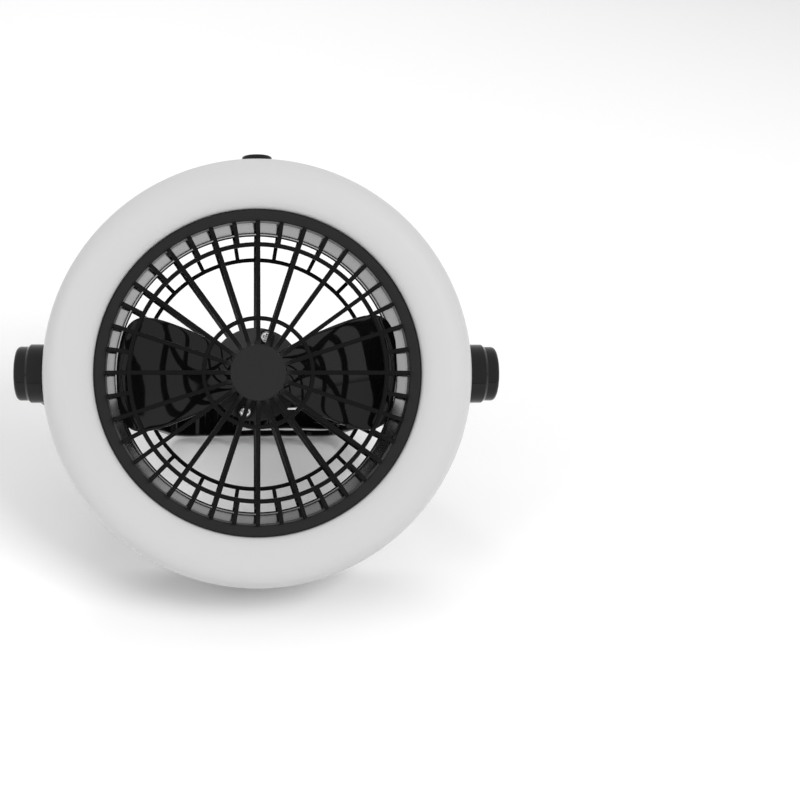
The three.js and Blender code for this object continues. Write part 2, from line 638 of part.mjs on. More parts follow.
// A closed sheet from rows of points, thickened evenly along Z
function sheet(rows, thickness) {
  const high = rows.flat().map(point => point.clone().setZ(point.z + half(thickness)));
  const low = rows.flat().map(point => point.clone().setZ(point.z - half(thickness)));
  const count = rows[0].length;
  const faces = [];
  const quad = (a, b, c, d) => faces.push(a, b, c, a, c, d);
  for (let i = 0; i < rows.length - 1; i += 1) {
    for (let k = 0; k < count - 1; k += 1) {
      const a = i * count + k;
      quad(a, a + count, a + count + 1, a + 1);
      quad(a + high.length + 1, a + high.length + count + 1, a + high.length + count, a + high.length);
    }
  }
  const edge = [
    ...rows[0].map((_, k) => k),
    ...rows.slice(1).map((_, i) => (i + 2) * count - 1),
    ...rows[0].slice(1).map((_, k) => rows.length * count - 2 - k),
    ...rows.slice(1, -1).map((_, i) => (rows.length - 2 - i) * count),
  ];
  edge.forEach((from, i) => {
    const to = edge[(i + 1) % edge.length];
    quad(from, to, to + high.length, from + high.length);
  });
  const geometry = new THREE.BufferGeometry().setFromPoints([...high, ...low]);
  geometry.setIndex(faces);
  return geometry;
}

function fanRotor() {
  const { hubRadius, hubHeight, hubWall, boss, noseRound } = ROTOR;
  const top = rotorZ + hubHeight;
  const hub = spun([
    [0, rotorZ], [boss, rotorZ], [boss, shaftTop], [hubRadius - hubWall, shaftTop],
    [hubRadius - hubWall, rotorZ], [hubRadius, rotorZ],
    ...arc(hubRadius - noseRound, top - noseRound, noseRound, noseRound, 0, 90, ROUND_STEPS), [0, top],
  ], DISC_STEPS);
  const blades = evenAngles(BLADES, 0).map(angle => blade().rotateZ(radians(angle)));
  const clear = disc(hubRadius - half(hubWall), rotorZ - half(BLADE_RISE.tip), shaftTop, DISC_STEPS);
  const swept = blades.map(geometry => cut(solid(geometry), clear.clone()));
  const body = swept.reduce((sum, piece) => sum.add(piece), solid(hub));
  return cut(body, disc(MOTOR.shaftRadius + GAP, rotorZ - OVERRUN, shaftTop + GAP, PIN_STEPS));
}

// Battery bay contents and doors, drawn with the bay's radius along X
function batteryDoor() {
  const hinge = half(DOOR.thick);
  const plate = prism(doorPlan(0, 0), 0, DOOR.thick);
  const rod = alongY(disc(hinge, -doorSide, doorSide, PIN_STEPS));
  const near = doorOuter - NOTCH.rimMargin - half(NOTCH.width);
  const side = half(NOTCH.length);
  const notch = box(near, near + NOTCH.width, -side, side, -OVERRUN, NOTCH.depth);
  return cut(joined(plate, rod.translate(doorInner, 0, hinge)), notch);
}

function cellHeights() {
  const pitch = CELL.radius * 2 + GAP;
  return Array.from({ length: CELL.perBay }, (_, i) => bayFloor - GAP - CELL.radius - i * pitch);
}

// Every second cell lies the other way round, so each end plate carries one spring
function cellTurn(i) {
  return i % 2 ? Math.PI : 0;
}

function batteryCell(i) {
  const { radius, length, nubRadius, nubLength } = CELL;
  const profile = [
    [0, -half(length)], [radius, -half(length)], [radius, half(length)], [nubRadius, half(length)],
    [nubRadius, half(length) + nubLength], [0, half(length) + nubLength],
  ];
  const cell = alongY(spun(profile, PIN_STEPS)).translate(0, -half(nubLength), 0);
  return cell.rotateZ(cellTurn(i)).translate(bayReach, 0, cellHeights()[i]);
}

function batteryContact(i) {
  const end = half(bayLength) - GAP;
  const wide = half(bayWidth) - GAP;
  const low = bayFloor - GAP - CELL.radius * 2 * CELL.perBay;
  const plate = box(-wide, wide, -end, CONTACT.thick - end, low, bayFloor - GAP);
  const cellEnd = half(CELL.length) + half(CELL.nubLength) + GAP;
  const base = end - half(CONTACT.thick);
  const { springTip, springRadius } = CONTACT;
  const coneLine = [[0, cellEnd], [springTip, cellEnd], [springRadius, base], [0, base]];
  const cone = alongY(spun(coneLine, PIN_STEPS));
  const spring = cone.rotateZ(Math.PI).translate(0, 0, cellHeights()[i]);
  return asGeometry(joined(plate, spring)).rotateZ(cellTurn(i)).translate(bayReach, 0, 0);
}

function caseScrew(angle) {
  const { headRadius, headHeight, shankRadius } = CASE_SCREW;
  const seat = caseFloor - GAP;
  const tip = caseFloor + CASE_SCREW.length;
  const profile = [
    [0, seat - headHeight], [headRadius, seat - headHeight], [headRadius, seat],
    [shankRadius, seat], [shankRadius, tip], [0, tip],
  ];
  return screwPlace(spun(profile, PIN_STEPS), angle);
}

// Button group, drawn with the push direction along Z and then stood up along Y
function powerButton() {
  const { radius, round } = BUTTON;
  return spun([
    [0, stemLow], [BUTTON_STEM.radius, stemLow], [BUTTON_STEM.radius, flangeLow], [flangeRadius, flangeLow],
    [flangeRadius, flangeTop], [radius, flangeTop],
    ...arc(radius - round, buttonTip - round, round, round, 0, 90, ROUND_STEPS), [0, buttonTip],
  ], DISC_STEPS);
}

function buttonSpring() {
  const { radius, wire, turns } = BUTTON_SPRING;
  const low = switchTop + GAP + wire;
  const high = flangeLow - GAP - wire;
  class Helix extends THREE.Curve {
    getPoint(share, target = new THREE.Vector3()) {
      const angle = share * turns * Math.PI * 2;
      return target.set(radius * Math.cos(angle), radius * Math.sin(angle), low + (high - low) * share);
    }
  }
  const section = outline(arc(0, 0, wire, wire, 0, 360, SPRING_SIDES).slice(0, -1));
  const steps = turns * SPRING_TURN_STEPS;
  return new THREE.ExtrudeGeometry(section, { steps, extrudePath: new Helix(), bevelEnabled: false });
}

function switchBoard() {
  const { width, length } = SWITCH_BOARD;
  const low = seamZ - half(length);
  return box(-half(width), half(width), boardLow, boardTop, low, low + length);
}

function switchBody() {
  const size = half(SWITCH.size);
  const body = box(-size, size, -size, size, boardTop + GAP, switchTop);
  const plungerTop = switchTop + SWITCH.plungerHeight;
  return joined(body, disc(SWITCH.plungerRadius, boardTop + SWITCH.height, plungerTop, PIN_STEPS));
}

// Pivot pieces, drawn with the pivot axis along Z away from the fan's middle
function pivotBoss() {
  const { radius, spigotRadius, spigotDepth, round } = BOSS;
  const low = Math.sqrt(wallOuter ** 2 - radius ** 2) - OVERRUN;
  const flange = spun([
    [0, low], [radius, low], [radius, bossReach - round], [radius - round, bossReach], [0, bossReach],
  ], DISC_STEPS);
  const saddle = disc(wallOuter + GAP, -radius - OVERRUN, radius + OVERRUN, RING_STEPS);
  const spigot = disc(spigotRadius, wallOuter - spigotDepth, wallOuter + OVERRUN, PIN_STEPS);
  const bore = disc(PIN.radius + GAP, bossReach - PIN.depth - GAP, bossReach + OVERRUN, PIN_STEPS);
  const shaped = cut(solid(flange), saddle.rotateY(Math.PI / 2));
  return cut(shaped.add(solid(spigot)), bore);
}

function pivotPin() {
  const low = bossReach - PIN.depth;
  const high = pinHeadLow + PIN.headHeight;
  return spun([
    [0, low], [PIN.radius, low], [PIN.radius, pinHeadLow],
    [PIN.headRadius, pinHeadLow], [PIN.headRadius, high], [0, high],
  ], PIN_STEPS);
}

function pivotWasher() {
  return tube(PIN.radius + GAP, WASHER.radius, washerLow, washerLow + WASHER.thick, PIN_STEPS);
}

// Cap: stepped knob with a slot for the strap; its own up is the way the strap leaves it
function pivotCap() {
  const { radius, skirt, slope, stepRadius, roof, cavity, round } = CAP;
  const low = bossReach + GAP;
  const roomTop = pinHeadLow + PIN.headHeight + GAP;
  const reach = roomTop + roof;
  const shoulder = low + skirt;
  const knob = spun([
    [0, low], [radius, low], [radius, shoulder - slope], [stepRadius, shoulder],
    ...arc(stepRadius - round, reach - round, round, round, 0, 90, ROUND_STEPS), [0, reach],
  ], DISC_STEPS);
  const slotTop = strapOuter + GAP;
  const slotSide = half(HANDLE.width) + GAP;
  const slot = box(0, radius + OVERRUN, -slotSide, slotSide, low - OVERRUN, slotTop);
  const eye = disc(slotSide, low - OVERRUN, slotTop, DISC_STEPS);
  const room = disc(cavity, low - OVERRUN, roomTop, DISC_STEPS);
  return cut(solid(knob), slot, eye, room);
}

// Handle, drawn with X along the pivots and Y from the pivots to the grip bar
function handleLine() {
  const arm = ARM_SHARES.map(([across, up]) => [across * armReach, up * barHeight]);
  const bend = splinePoints(arm, ARM_STEPS);
  const barEnd = bend[bend.length - 1];
  const bar = [];
  for (let i = 1; i <= WAVE_STEPS; i += 1) {
    const x = barEnd[0] * (1 - i / WAVE_STEPS);
    const along = Math.min(x, WAVE.flatX) - WAVE.crestX;
    bar.push([x, barHeight + WAVE.height * Math.cos(along / WAVE.length * Math.PI * 2)]);
  }
  const right = [...bend, ...bar];
  const left = right.slice(0, -1).map(([x, y]) => [-x, y]).reverse();
  return [...right, ...left];
}

function handleStrap() {
  const { thick } = HANDLE;
  const side = half(HANDLE.width);
  const strap = prism(band(handleLine(), thick), -side, side);
  const eye = alongX(disc(side, -half(thick), half(thick), DISC_STEPS));
  const hole = alongX(disc(PIN.radius + GAP, -thick, thick, PIN_STEPS));
  const eyes = [-1, 1].map(way => eye.clone().translate(way * armReach, 0, 0));
  const holes = [-1, 1].map(way => hole.clone().translate(way * armReach, 0, 0));
  const opening = half(WINDOW.width);
  const low = barHeight - WINDOW.sill;
  const window = box(-WINDOW.left, WINDOW.right, low, barHeight + WINDOW.top, -opening, opening);
  const rail = cut(joined(strap, ...eyes), window, ...holes);
  const nearEye = disc(EYE.radius, -side, -opening, PIN_STEPS).translate(0, barHeight, 0);
  const farEye = disc(EYE.radius, opening, side, PIN_STEPS).translate(0, barHeight, 0);
  const pinHole = disc(EYE.pinRadius + GAP, -side - OVERRUN, side + OVERRUN, PIN_STEPS);
  return cut(rail.add(solid(nearEye)).add(solid(farEye)), pinHole.translate(0, barHeight, 0));
}

function hookPin() {
  const { pinRadius, pinHeadRadius, pinHeadHeight } = EYE;
  const face = half(HANDLE.width) + GAP;
  const end = face + pinHeadHeight;
  return spun([
    [0, -end], [pinHeadRadius, -end], [pinHeadRadius, -face], [pinRadius, -face],
    [pinRadius, face], [pinHeadRadius, face], [pinHeadRadius, end], [0, end],
  ], PIN_STEPS);
}

// Hook, drawn standing up from its pin
function foldingHook() {
  const { width, thick, eyeRadius, heel, bendRadius, bendX, bendY } = HOOK;
  const neckPoints = NECK_SHARES.map(([across, up]) => [across * bendRadius, up * bendY]);
  const neck = splinePoints(neckPoints, NECK_STEPS);
  const bend = arc(bendX, bendY, bendRadius, bendRadius, 180, 0, BEND_STEPS);
  const line = [[0, -heel], ...neck, ...bend, [HOOK_TIP.x, HOOK_TIP.y]];
  const side = half(width);
  const strip = prism(band(line, thick), -side, side);
  const eye = disc(eyeRadius, -side, side, PIN_STEPS);
  return cut(joined(strip, eye), disc(EYE.pinRadius + GAP, -side - OVERRUN, side + OVERRUN, PIN_STEPS));
}

// Lean of the fan: the rounded lower back edge and the lower corner of the grip bar touch the same floor
function leanAngle() {
  const fold = radians(HANDLE_STAND_ANGLE);
  const barOuter = barHeight + WAVE.height + half(HANDLE.thick);
  const cornerY = -barOuter * Math.cos(fold) - half(HANDLE.width) * Math.sin(fold);
  const cornerZ = seamZ - barOuter * Math.sin(fold) + half(HANDLE.width) * Math.cos(fold);
  const across = cornerY + wallOuter - HOUSING.edgeRound;
  const deep = HOUSING.edgeRound - cornerZ;
  return Math.atan2(deep, across) - Math.asin(HOUSING.edgeRound / Math.hypot(across, deep));
}

// Assembly
const head = new THREE.Group();
head.rotation.x = leanAngle();

part(head, 'rear_housing', asGeometry(rearHousing()), GLOSS_BLACK);
part(head, 'front_housing', asGeometry(frontHousing()), GLOSS_BLACK);
part(head, 'air_duct', asGeometry(airDuct()), GLOSS_BLACK);
part(head, 'light_diffuser', lightDiffuser(), MILKY_WHITE);

part(head, 'light_board', asGeometry(lightBoard()), BOARD_WHITE);

part(head, 'front_guard', asGeometry(frontGuard()), SATIN_BLACK);
part(head, 'front_cage', asGeometry(frontCage()), SATIN_BLACK);
part(head, 'rear_guard', asGeometry(rearGuard()), SATIN_BLACK);
part(head, 'rear_cage', asGeometry(rearCage()), SATIN_BLACK);
part(head, 'motor', asGeometry(motorCan()), STEEL);
part(head, 'motor_bracket', asGeometry(motorBracket()), SATIN_BLACK);
bracketAngles.forEach((angle, i) => part(head, `motor_screw_${i + 1}`, motorScrew(angle), STEEL));
part(head, 'motor_shaft', motorShaft(), STEEL);
part(head, 'fan_rotor', asGeometry(fanRotor()), GLOSS_BLACK);

bayAngles.forEach((angle, i) => {
  const bay = new THREE.Group();
  bay.rotation.z = radians(angle);
  head.add(bay);
  part(bay, `battery_door_${i + 1}`, asGeometry(batteryDoor()), GLOSS_BLACK);
  for (let k = 0; k < CELL.perBay; k += 1) {
    part(bay, `battery_cell_${i + 1}_${k + 1}`, batteryCell(k), CELL_SLEEVE);
    part(bay, `battery_contact_${i + 1}_${k + 1}`, batteryContact(k), STEEL);
  }
});
screwAngles.forEach((angle, i) => part(head, `housing_screw_${i + 1}`, caseScrew(angle), STEEL));

const switchGroup = new THREE.Group();
switchGroup.position.z = seamZ;
switchGroup.rotation.x = -Math.PI / 2;
head.add(switchGroup);
part(switchGroup, 'power_button', powerButton(), GLOSS_BLACK);
part(switchGroup, 'button_spring', buttonSpring(), STEEL);
part(switchGroup, 'push_switch', asGeometry(switchBody()), SATIN_BLACK);
part(head, 'switch_board', switchBoard(), BOARD_GREEN);

// Pivots on both sides: the cap's strap slot is turned to where the handle leaves
const handleTurn = Math.PI + radians(HANDLE_STAND_ANGLE);
const handleGroup = new THREE.Group();
handleGroup.position.z = seamZ;
handleGroup.rotation.x = handleTurn;
head.add(handleGroup);

for (const [side, way] of [['right', 1], ['left', -1]]) {
  const fixed = new THREE.Group();
  fixed.position.z = seamZ;
  fixed.rotation.y = way * Math.PI / 2;
  head.add(fixed);
  part(fixed, `pivot_boss_${side}`, asGeometry(pivotBoss()), GLOSS_BLACK);
  part(fixed, `pivot_pin_${side}`, pivotPin(), STEEL);
  const turning = new THREE.Group();
  turning.rotation.set(0, way * Math.PI / 2, Math.PI / 2, 'YZX');
  handleGroup.add(turning);
  part(turning, `pivot_washer_${side}`, pivotWasher(), STEEL);
  part(turning, `pivot_cap_${side}`, asGeometry(pivotCap()), GLOSS_BLACK);
}

part(handleGroup, 'handle', asGeometry(handleStrap()), GLOSS_BLACK);
const hookGroup = new THREE.Group();
hookGroup.position.y = barHeight;
hookGroup.rotation.z = radians(HOOK_STOWED_TURN);
handleGroup.add(hookGroup);
part(hookGroup, 'hook_pin', hookPin(), STEEL);
part(hookGroup, 'hook', asGeometry(foldingHook()), GLOSS_BLACK);

// Stand the fan on the plane Z = 0, centred over the origin
const fan = new THREE.Group();
fan.add(head);
fan.updateMatrixWorld(true);
const bounds = new THREE.Box3().setFromObject(fan, true);
const middle = bounds.getCenter(new THREE.Vector3());
head.position.set(-middle.x, -middle.y, -bounds.min.z);

export default fan;
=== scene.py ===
import json

import bpy
import bmesh
import numpy as np
from mathutils import Matrix, Vector


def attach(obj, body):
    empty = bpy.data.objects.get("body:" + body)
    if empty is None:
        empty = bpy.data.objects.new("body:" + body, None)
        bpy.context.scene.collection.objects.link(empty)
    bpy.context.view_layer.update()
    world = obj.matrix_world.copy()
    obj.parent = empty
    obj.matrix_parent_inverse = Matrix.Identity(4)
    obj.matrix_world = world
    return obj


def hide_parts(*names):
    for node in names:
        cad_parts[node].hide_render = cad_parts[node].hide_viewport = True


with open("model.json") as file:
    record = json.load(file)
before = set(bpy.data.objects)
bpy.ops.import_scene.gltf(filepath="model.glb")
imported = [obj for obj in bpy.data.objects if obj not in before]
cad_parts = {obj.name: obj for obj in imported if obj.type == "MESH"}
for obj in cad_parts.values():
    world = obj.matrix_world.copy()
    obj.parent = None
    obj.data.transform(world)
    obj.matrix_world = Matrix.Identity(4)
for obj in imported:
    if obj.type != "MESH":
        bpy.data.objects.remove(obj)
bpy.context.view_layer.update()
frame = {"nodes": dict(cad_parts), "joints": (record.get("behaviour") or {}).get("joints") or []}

# Fineness of the round forms
RING = 256
DISC = 96
PIN = 40
ARC = 5
HOLD = 0.0004
GAP = 0.0003
OVERRUN = 0.001

# Housing shells and duct
HOUSING = {"radius": 0.1086, "wall": 0.0022, "depth": 0.052, "seam": 0.033, "edge": 0.0035}
DUCT = {"radius": 0.0773, "wall": 0.002, "mouth": 0.0015, "shelf": 0.049,
        "shelf_thick": 0.002, "collar": 0.002}
SEAM_GROOVE = 0.0007

# Milky light cover
COVER = {"radius": 0.11, "crown_radius": 0.097, "equator": 0.0548, "crown": 0.066, "inner_radius": 0.0833,
         "inner": 0.062, "wall": 0.002}

# Guards
BAR = {"width": 0.0022, "depth": 0.0024, "round": 0.0006, "spoke_drop": 0.0003}
SPOKES = 20
RIM_BARS = 40
FRONT = {"rim": 0.0615, "flange": 0.003, "wall": 0.0018, "hub_radius": 0.014, "hub": 0.074,
         "hub_thick": 0.003, "ring_radius": 0.0643, "ring": 0.0698, "inner_ring_radius": 0.0271,
         "shoulder_drop": 0.0098}
BACK = {"plate_radius": 0.0263, "plate": -0.005, "plate_thick": 0.004, "plate_round": 0.0006,
        "ring": -0.0018, "seat": 0.0096, "seat_depth": 0.0008, "seat_wall": 0.0008}

# Painted light and shade on the guards, as shares of their base colour: painted shade on the bars, painted
# light on the motor plate's face towards the motor, a darker back face on the plate
PAINTED_LIGHT = "Tone"
PAINTED_LIGHT_SHARES = {"rim": 1.0, "bar": 0.2, "plate": 4.0, "plate_back": 0.6}

# Motor, bracket, screws and rotor
MOTOR = {"radius": 0.012, "length": 0.024, "nose_radius": 0.0035, "nose_length": 0.002}
BRACKET = {"radius": 0.0155, "thick": 0.002, "cup_wall": 0.0016, "cup_height": 0.007, "ear_reach": 0.0215,
           "ear_radius": 0.0046, "angle": 74}
MOTOR_SCREW = {"radius": 0.0033, "height": 0.002}
ROTOR = {"hub_radius": 0.0105, "hub": 0.031, "hub_height": 0.014, "nose_thick": 0.004, "nose_round": 0.003}
BLADE = {"tip": 0.0741, "root": 0.0095, "middle": 0.04, "chord": 0.069, "root_chord": 0.012,
         "thick": 0.0018, "tip_rise": 0.025, "root_rise": 0.015, "cup": 0.01, "corner_power": 8,
         "chord_power": 0.75}

# Battery bays, doors, cells and case screws
BAY = {"count": 3, "first_angle": 12, "reach": 0.0908, "width": 0.0151, "length": 0.0564, "depth": 0.0332}
DOOR = {"inner": 0.0823, "outer": 0.104, "half_length": 0.0365, "thick": 0.002, "round": 0.0004}
NOTCH = {"radius": 0.1024, "length": 0.012, "width": 0.0016, "depth": 0.0012}
CELL = {"radius": 0.00725, "length": 0.0492, "nub_radius": 0.00275, "nub_length": 0.0013, "round": 0.0007}
CASE_SCREW = {"reach": 0.096, "first_angle": 72, "radius": 0.0032, "height": 0.003, "well": 0.0038,
              "floor": 0.026}

# Button
BUTTON = {"radius": 0.008, "proud": 0.007, "flange_radius": 0.0096, "round": 0.001, "well": 0.088}

# Pivots
BOSS = {"radius": 0.0141, "reach": 0.1138, "round": 0.001}
CAP = {"radius": 0.0156, "skirt": 0.0065, "slope": 0.0014, "step_radius": 0.0144, "reach": 0.1266,
       "cavity": 0.008, "cavity_top": 0.1226, "round": 0.002, "edge": 0.0006, "lip": 0.0026}

# Handle strap and its window, with the arm drawn as shares of the arm's reach and the bar's height
STRAP = {"width": 0.022, "thick": 0.0045, "arm": 0.1164, "bar": 0.1286, "eye": 0.011, "round": 0.0007}
ARM_SHARES = np.array([
    [1, 0], [1, 0.171], [0.988, 0.259], [0.953, 0.336], [0.811, 0.547],
    [0.649, 0.737], [0.524, 0.84], [0.481, 0.907], [0.439, 0.984], [0.378, 1.007],
])
WAVE = {"length": 0.016, "height": 0.0009, "crest": 0.023, "flat": 0.039}
WINDOW = {"width": 0.015, "left": 0.0083, "right": 0.07, "sill": 0.018}
EYE = {"radius": 0.0031, "pin_radius": 0.0015, "head_radius": 0.002, "head_height": 0.0005}

# Hook, with its neck drawn as shares of the bend's radius and height
HOOK = {"width": 0.012, "thick": 0.0042, "eye": 0.0046, "heel": 0.0066, "bend_radius": 0.0096,
        "bend_x": 0.0058, "bend_y": 0.0502, "tip_x": 0.0148, "tip_y": 0.038, "round": 0.0009}
NECK_SHARES = np.array([
    [0, 0], [-0.05, 0.15], [-0.13, 0.28], [-0.02, 0.42],
    [-0.03, 0.54], [-0.17, 0.67], [-0.3, 0.78], [-0.4, 0.9],
])


# Axes of the fan, the handle, the hook and the pivots, read from the joints
def axes(x, y, z, origin):
    """A matrix whose columns are the three axes and the origin."""
    return Matrix.LocRotScale(origin, Matrix((x, y, z)).transposed().to_quaternion(), None)


JOINT = {joint["name"]: joint for joint in frame["joints"]}
SIDE = Vector((1, 0, 0))
FRONT_WAY = Vector(JOINT["rotor_spin"]["axis"]).normalized()
UP_WAY = FRONT_WAY.cross(SIDE)
FAN = axes(SIDE, UP_WAY, FRONT_WAY, Vector(JOINT["rotor_spin"]["pos_m"]) - BLADE["middle"] * FRONT_WAY)
STRAP_ACROSS = Vector(JOINT["hook_fold"]["axis"]).normalized()
STRAP_UP = STRAP_ACROSS.cross(SIDE)
HANDLE = axes(SIDE, STRAP_UP, STRAP_ACROSS, Vector(JOINT["handle_fold"]["pos_m"]))
HOOK_PLACE = axes(-STRAP_UP, SIDE, STRAP_ACROSS, Vector(JOINT["hook_fold"]["pos_m"]))


def pivot_place(way):
    """Axes of a fixed pivot piece: Z away from the fan's middle, Y towards the button."""
    return axes(-way * FRONT_WAY, UP_WAY, way * SIDE, Vector(JOINT["handle_fold"]["pos_m"]))


def cap_place(way):
    """Axes of a pivot piece that turns with the handle: X the way the strap leaves it."""
    return axes(STRAP_UP, way * STRAP_ACROSS, way * SIDE, Vector(JOINT["handle_fold"]["pos_m"]))


def spin(degrees):
    """A turn about Z."""
    return Matrix.Rotation(np.radians(degrees), 4, "Z")


def even_angles(count, first=0.0):
    """Angles spaced evenly round a circle."""
    return first + np.arange(count) * 360 / count


# Outlines
def arc(centre, radius, start, end, steps=ARC):
    """Points on a circle of the given centre and radius from one angle to another."""
    angle = np.radians(np.linspace(start, end, steps + 1))
    return np.array(centre) + np.array(radius) * np.stack([np.cos(angle), np.sin(angle)], -1)


def rounded(corners, radii, closed=True, steps=ARC):
    """A line through corners in which each corner gives way to an arc that touches both of its sides.

    The arc's centre lies on the corner's bisector at radius / sin(half angle). A holding point just past
    each end of the arc keeps the flat beside it flat.
    """
    corners = np.asarray(corners, float)
    radii = np.broadcast_to(radii, len(corners))
    line = []
    for i, (corner, radius) in enumerate(zip(corners, radii)):
        ends = not closed and i in (0, len(corners) - 1)
        if radius <= 0 or ends:
            line.append(corner)
            continue
        back = corners[i - 1] - corner
        ahead = corners[(i + 1) % len(corners)] - corner
        back_length, ahead_length = np.linalg.norm(back), np.linalg.norm(ahead)
        back, ahead = back / back_length, ahead / ahead_length
        half = np.arccos(np.clip(back @ ahead, -1, 1)) / 2
        reach = min(radius / np.tan(half), 0.48 * back_length, 0.48 * ahead_length)
        radius = reach * np.tan(half)
        centre = corner + (back + ahead) / np.linalg.norm(back + ahead) * radius / np.sin(half)
        first = corner + back * reach - centre
        last = corner + ahead * reach - centre
        turn = np.arctan2(first[0] * last[1] - first[1] * last[0], first @ last)
        angle = np.linspace(0, turn, steps + 1)[:, None]
        side = np.array([-first[1], first[0]])
        if back_length > reach + 4 * HOLD:
            line.append(corner + back * (reach + HOLD))
        line.extend(centre + np.cos(angle) * first + np.sin(angle) * side)
        if ahead_length > reach + 4 * HOLD:
            line.append(corner + ahead * (reach + HOLD))
    return np.array(line)


def rectangle(left, right, low, high):
    """The four corners of a rectangle."""
    return np.array([[left, low], [right, low], [right, high], [left, high]])


def smooth_line(points, steps):
    """Points evenly spread along a Catmull-Rom curve through the given points."""
    points = np.asarray(points, float)
    padded = np.vstack([2 * points[0] - points[1], points, 2 * points[-1] - points[-2]])
    place = np.linspace(0, len(points) - 1, steps)
    i = np.minimum(place.astype(int), len(points) - 2)
    t = (place - i)[:, None]
    a, b, c, d = padded[i], padded[i + 1], padded[i + 2], padded[i + 3]
    bend, twist = 2 * a - 5 * b + 4 * c - d, 3 * b - a - 3 * c + d
    return 0.5 * (2 * b + (c - a) * t + bend * t ** 2 + twist * t ** 3)


# Surfaces: each is a pair of points and faces
def grid(points, wrap_rows=False, wrap_columns=False, caps=False):
    """Faces between neighbours in a grid of points, wrapped where its ends meet, its end rows capped."""
    rows, columns = points.shape[:2]
    index = np.arange(rows * columns).reshape(rows, columns)
    index = np.where(np.ptp(points, axis=1).max(axis=1, keepdims=True) < 1e-9, index[:, :1], index)
    down = np.roll(index, -1, 0)
    quads = np.stack([index, down, np.roll(down, -1, 1), np.roll(index, -1, 1)], -1)
    last_row = rows if wrap_rows else rows - 1
    last_column = columns if wrap_columns else columns - 1
    quads = quads[:last_row, :last_column].reshape(-1, 4)
    pole = (quads == np.roll(quads, 1, axis=1)).any(axis=1)
    faces = quads[~pole].tolist() + [list(dict.fromkeys(quad)) for quad in quads[pole].tolist()]
    if caps:
        faces += [index[0].tolist(), index[-1][::-1].tolist()]
    return points.reshape(-1, 3), faces


def revolve(profile, steps=RING):
    """A profile of radius and height turned round Z: x = r cos a, y = r sin a, z = height.

    It is closed where it starts and ends on the axis, or where its two ends join.
    """
    profile = np.asarray(profile, float)
    angle = np.radians(even_angles(steps))[None, :]
    radius, height = profile[:, :1], profile[:, 1:] + 0 * angle
    points = np.stack([radius * np.cos(angle), radius * np.sin(angle), height], -1)
    return grid(points, wrap_rows=bool(profile[0, 0] > 0), wrap_columns=True)


def sweep(path, section, across=(0, 0, 1)):
    """A section carried along a path: point = path + s * across + d * (across x tangent)."""
    path = np.asarray(path, float)
    across = np.asarray(across, float)
    tangent = np.gradient(path, axis=0)
    tangent /= np.linalg.norm(tangent, axis=1, keepdims=True)
    normal = np.cross(across, tangent)
    section = np.broadcast_to(section, (len(path),) + np.shape(section)[-2:])
    points = path[:, None] + section[..., :1] * across + section[..., 1:] * normal[:, None]
    return grid(points, wrap_columns=True, caps=True)


def prism(outline, low, high, low_round=0.0, high_round=0.0):
    """An outline raised from low to high, whose rims draw in along a quarter circle."""
    outline = np.asarray(outline, float)
    back = outline - np.roll(outline, 1, 0)
    ahead = np.roll(outline, -1, 0) - outline
    back /= np.linalg.norm(back, axis=1, keepdims=True)
    ahead /= np.linalg.norm(ahead, axis=1, keepdims=True)
    way = back + ahead
    inward = np.stack([-way[:, 1], way[:, 0]], -1)
    inward /= np.linalg.norm(inward, axis=1, keepdims=True)
    square = np.stack([-back[:, 1], back[:, 0]], -1)
    inward /= (inward * square).sum(1, keepdims=True)
    area = np.cross(outline, np.roll(outline, -1, 0)).sum()
    inward *= np.sign(area)
    angle = np.radians(np.linspace(0, 90, ARC + 1))
    drawn = [low_round * (1 - np.sin(angle)), high_round * (1 - np.cos(angle))]
    height = [low + low_round * (1 - np.cos(angle)), high - high_round * (1 - np.sin(angle))]
    if low_round == 0:
        drawn[0], height[0] = drawn[0][:1], height[0][:1]
    if high_round == 0:
        drawn[1], height[1] = drawn[1][:1], height[1][-1:]
    drawn, height = np.concatenate(drawn), np.concatenate(height)
    flat = outline[None] + inward[None] * drawn[:, None, None]
    points = np.concatenate([flat, np.broadcast_to(height[:, None, None], flat.shape[:2] + (1,))], -1)
    return grid(points, wrap_columns=True, caps=True)


def moved(shape, matrix):
    """A surface moved by a matrix."""
    points, faces = shape
    matrix = np.array(matrix)
    return points @ matrix[:3, :3].T + matrix[:3, 3], faces


def copies(shape, angles):
    """A surface repeated at angles round Z."""
    return [moved(shape, spin(angle)) for angle in angles]


def mesh_of(name, shapes, place):
    """One mesh from several closed surfaces, put in its place with its faces turned outwards."""
    points, faces, count = [], [], 0
    for part_points, part_faces in shapes:
        points.append(part_points)
        faces.extend([[i + count for i in face] for face in part_faces])
        count += len(part_points)
    mesh = bpy.data.meshes.new(name)
    mesh.from_pydata(np.vstack(points).tolist(), [], faces)
    turned = bmesh.new()
    turned.from_mesh(mesh)
    bmesh.ops.recalc_face_normals(turned, faces=turned.faces)
    turned.to_mesh(mesh)
    turned.free()
    mesh.transform(place)
    return mesh


def cut(mesh, cutters, place):
    """A mesh less a list of groups of cutters, where the cutters of one group don't touch each other."""
    body = bpy.data.objects.new("body", mesh)
    bpy.context.scene.collection.objects.link(body)
    tools = []
    for shapes in cutters:
        tool = bpy.data.objects.new("tool", mesh_of("tool", shapes, place))
        bpy.context.scene.collection.objects.link(tool)
        tools.append(tool)
        boolean = body.modifiers.new("cut", "BOOLEAN")
        boolean.object = tool
        boolean.operation = "DIFFERENCE"
        boolean.solver = "EXACT"
    bpy.context.view_layer.update()
    result = bpy.data.meshes.new_from_object(body.evaluated_get(bpy.context.evaluated_depsgraph_get()))
    for spent in [body] + tools:
        bpy.data.objects.remove(spent)
    result.name = mesh.name
    return result


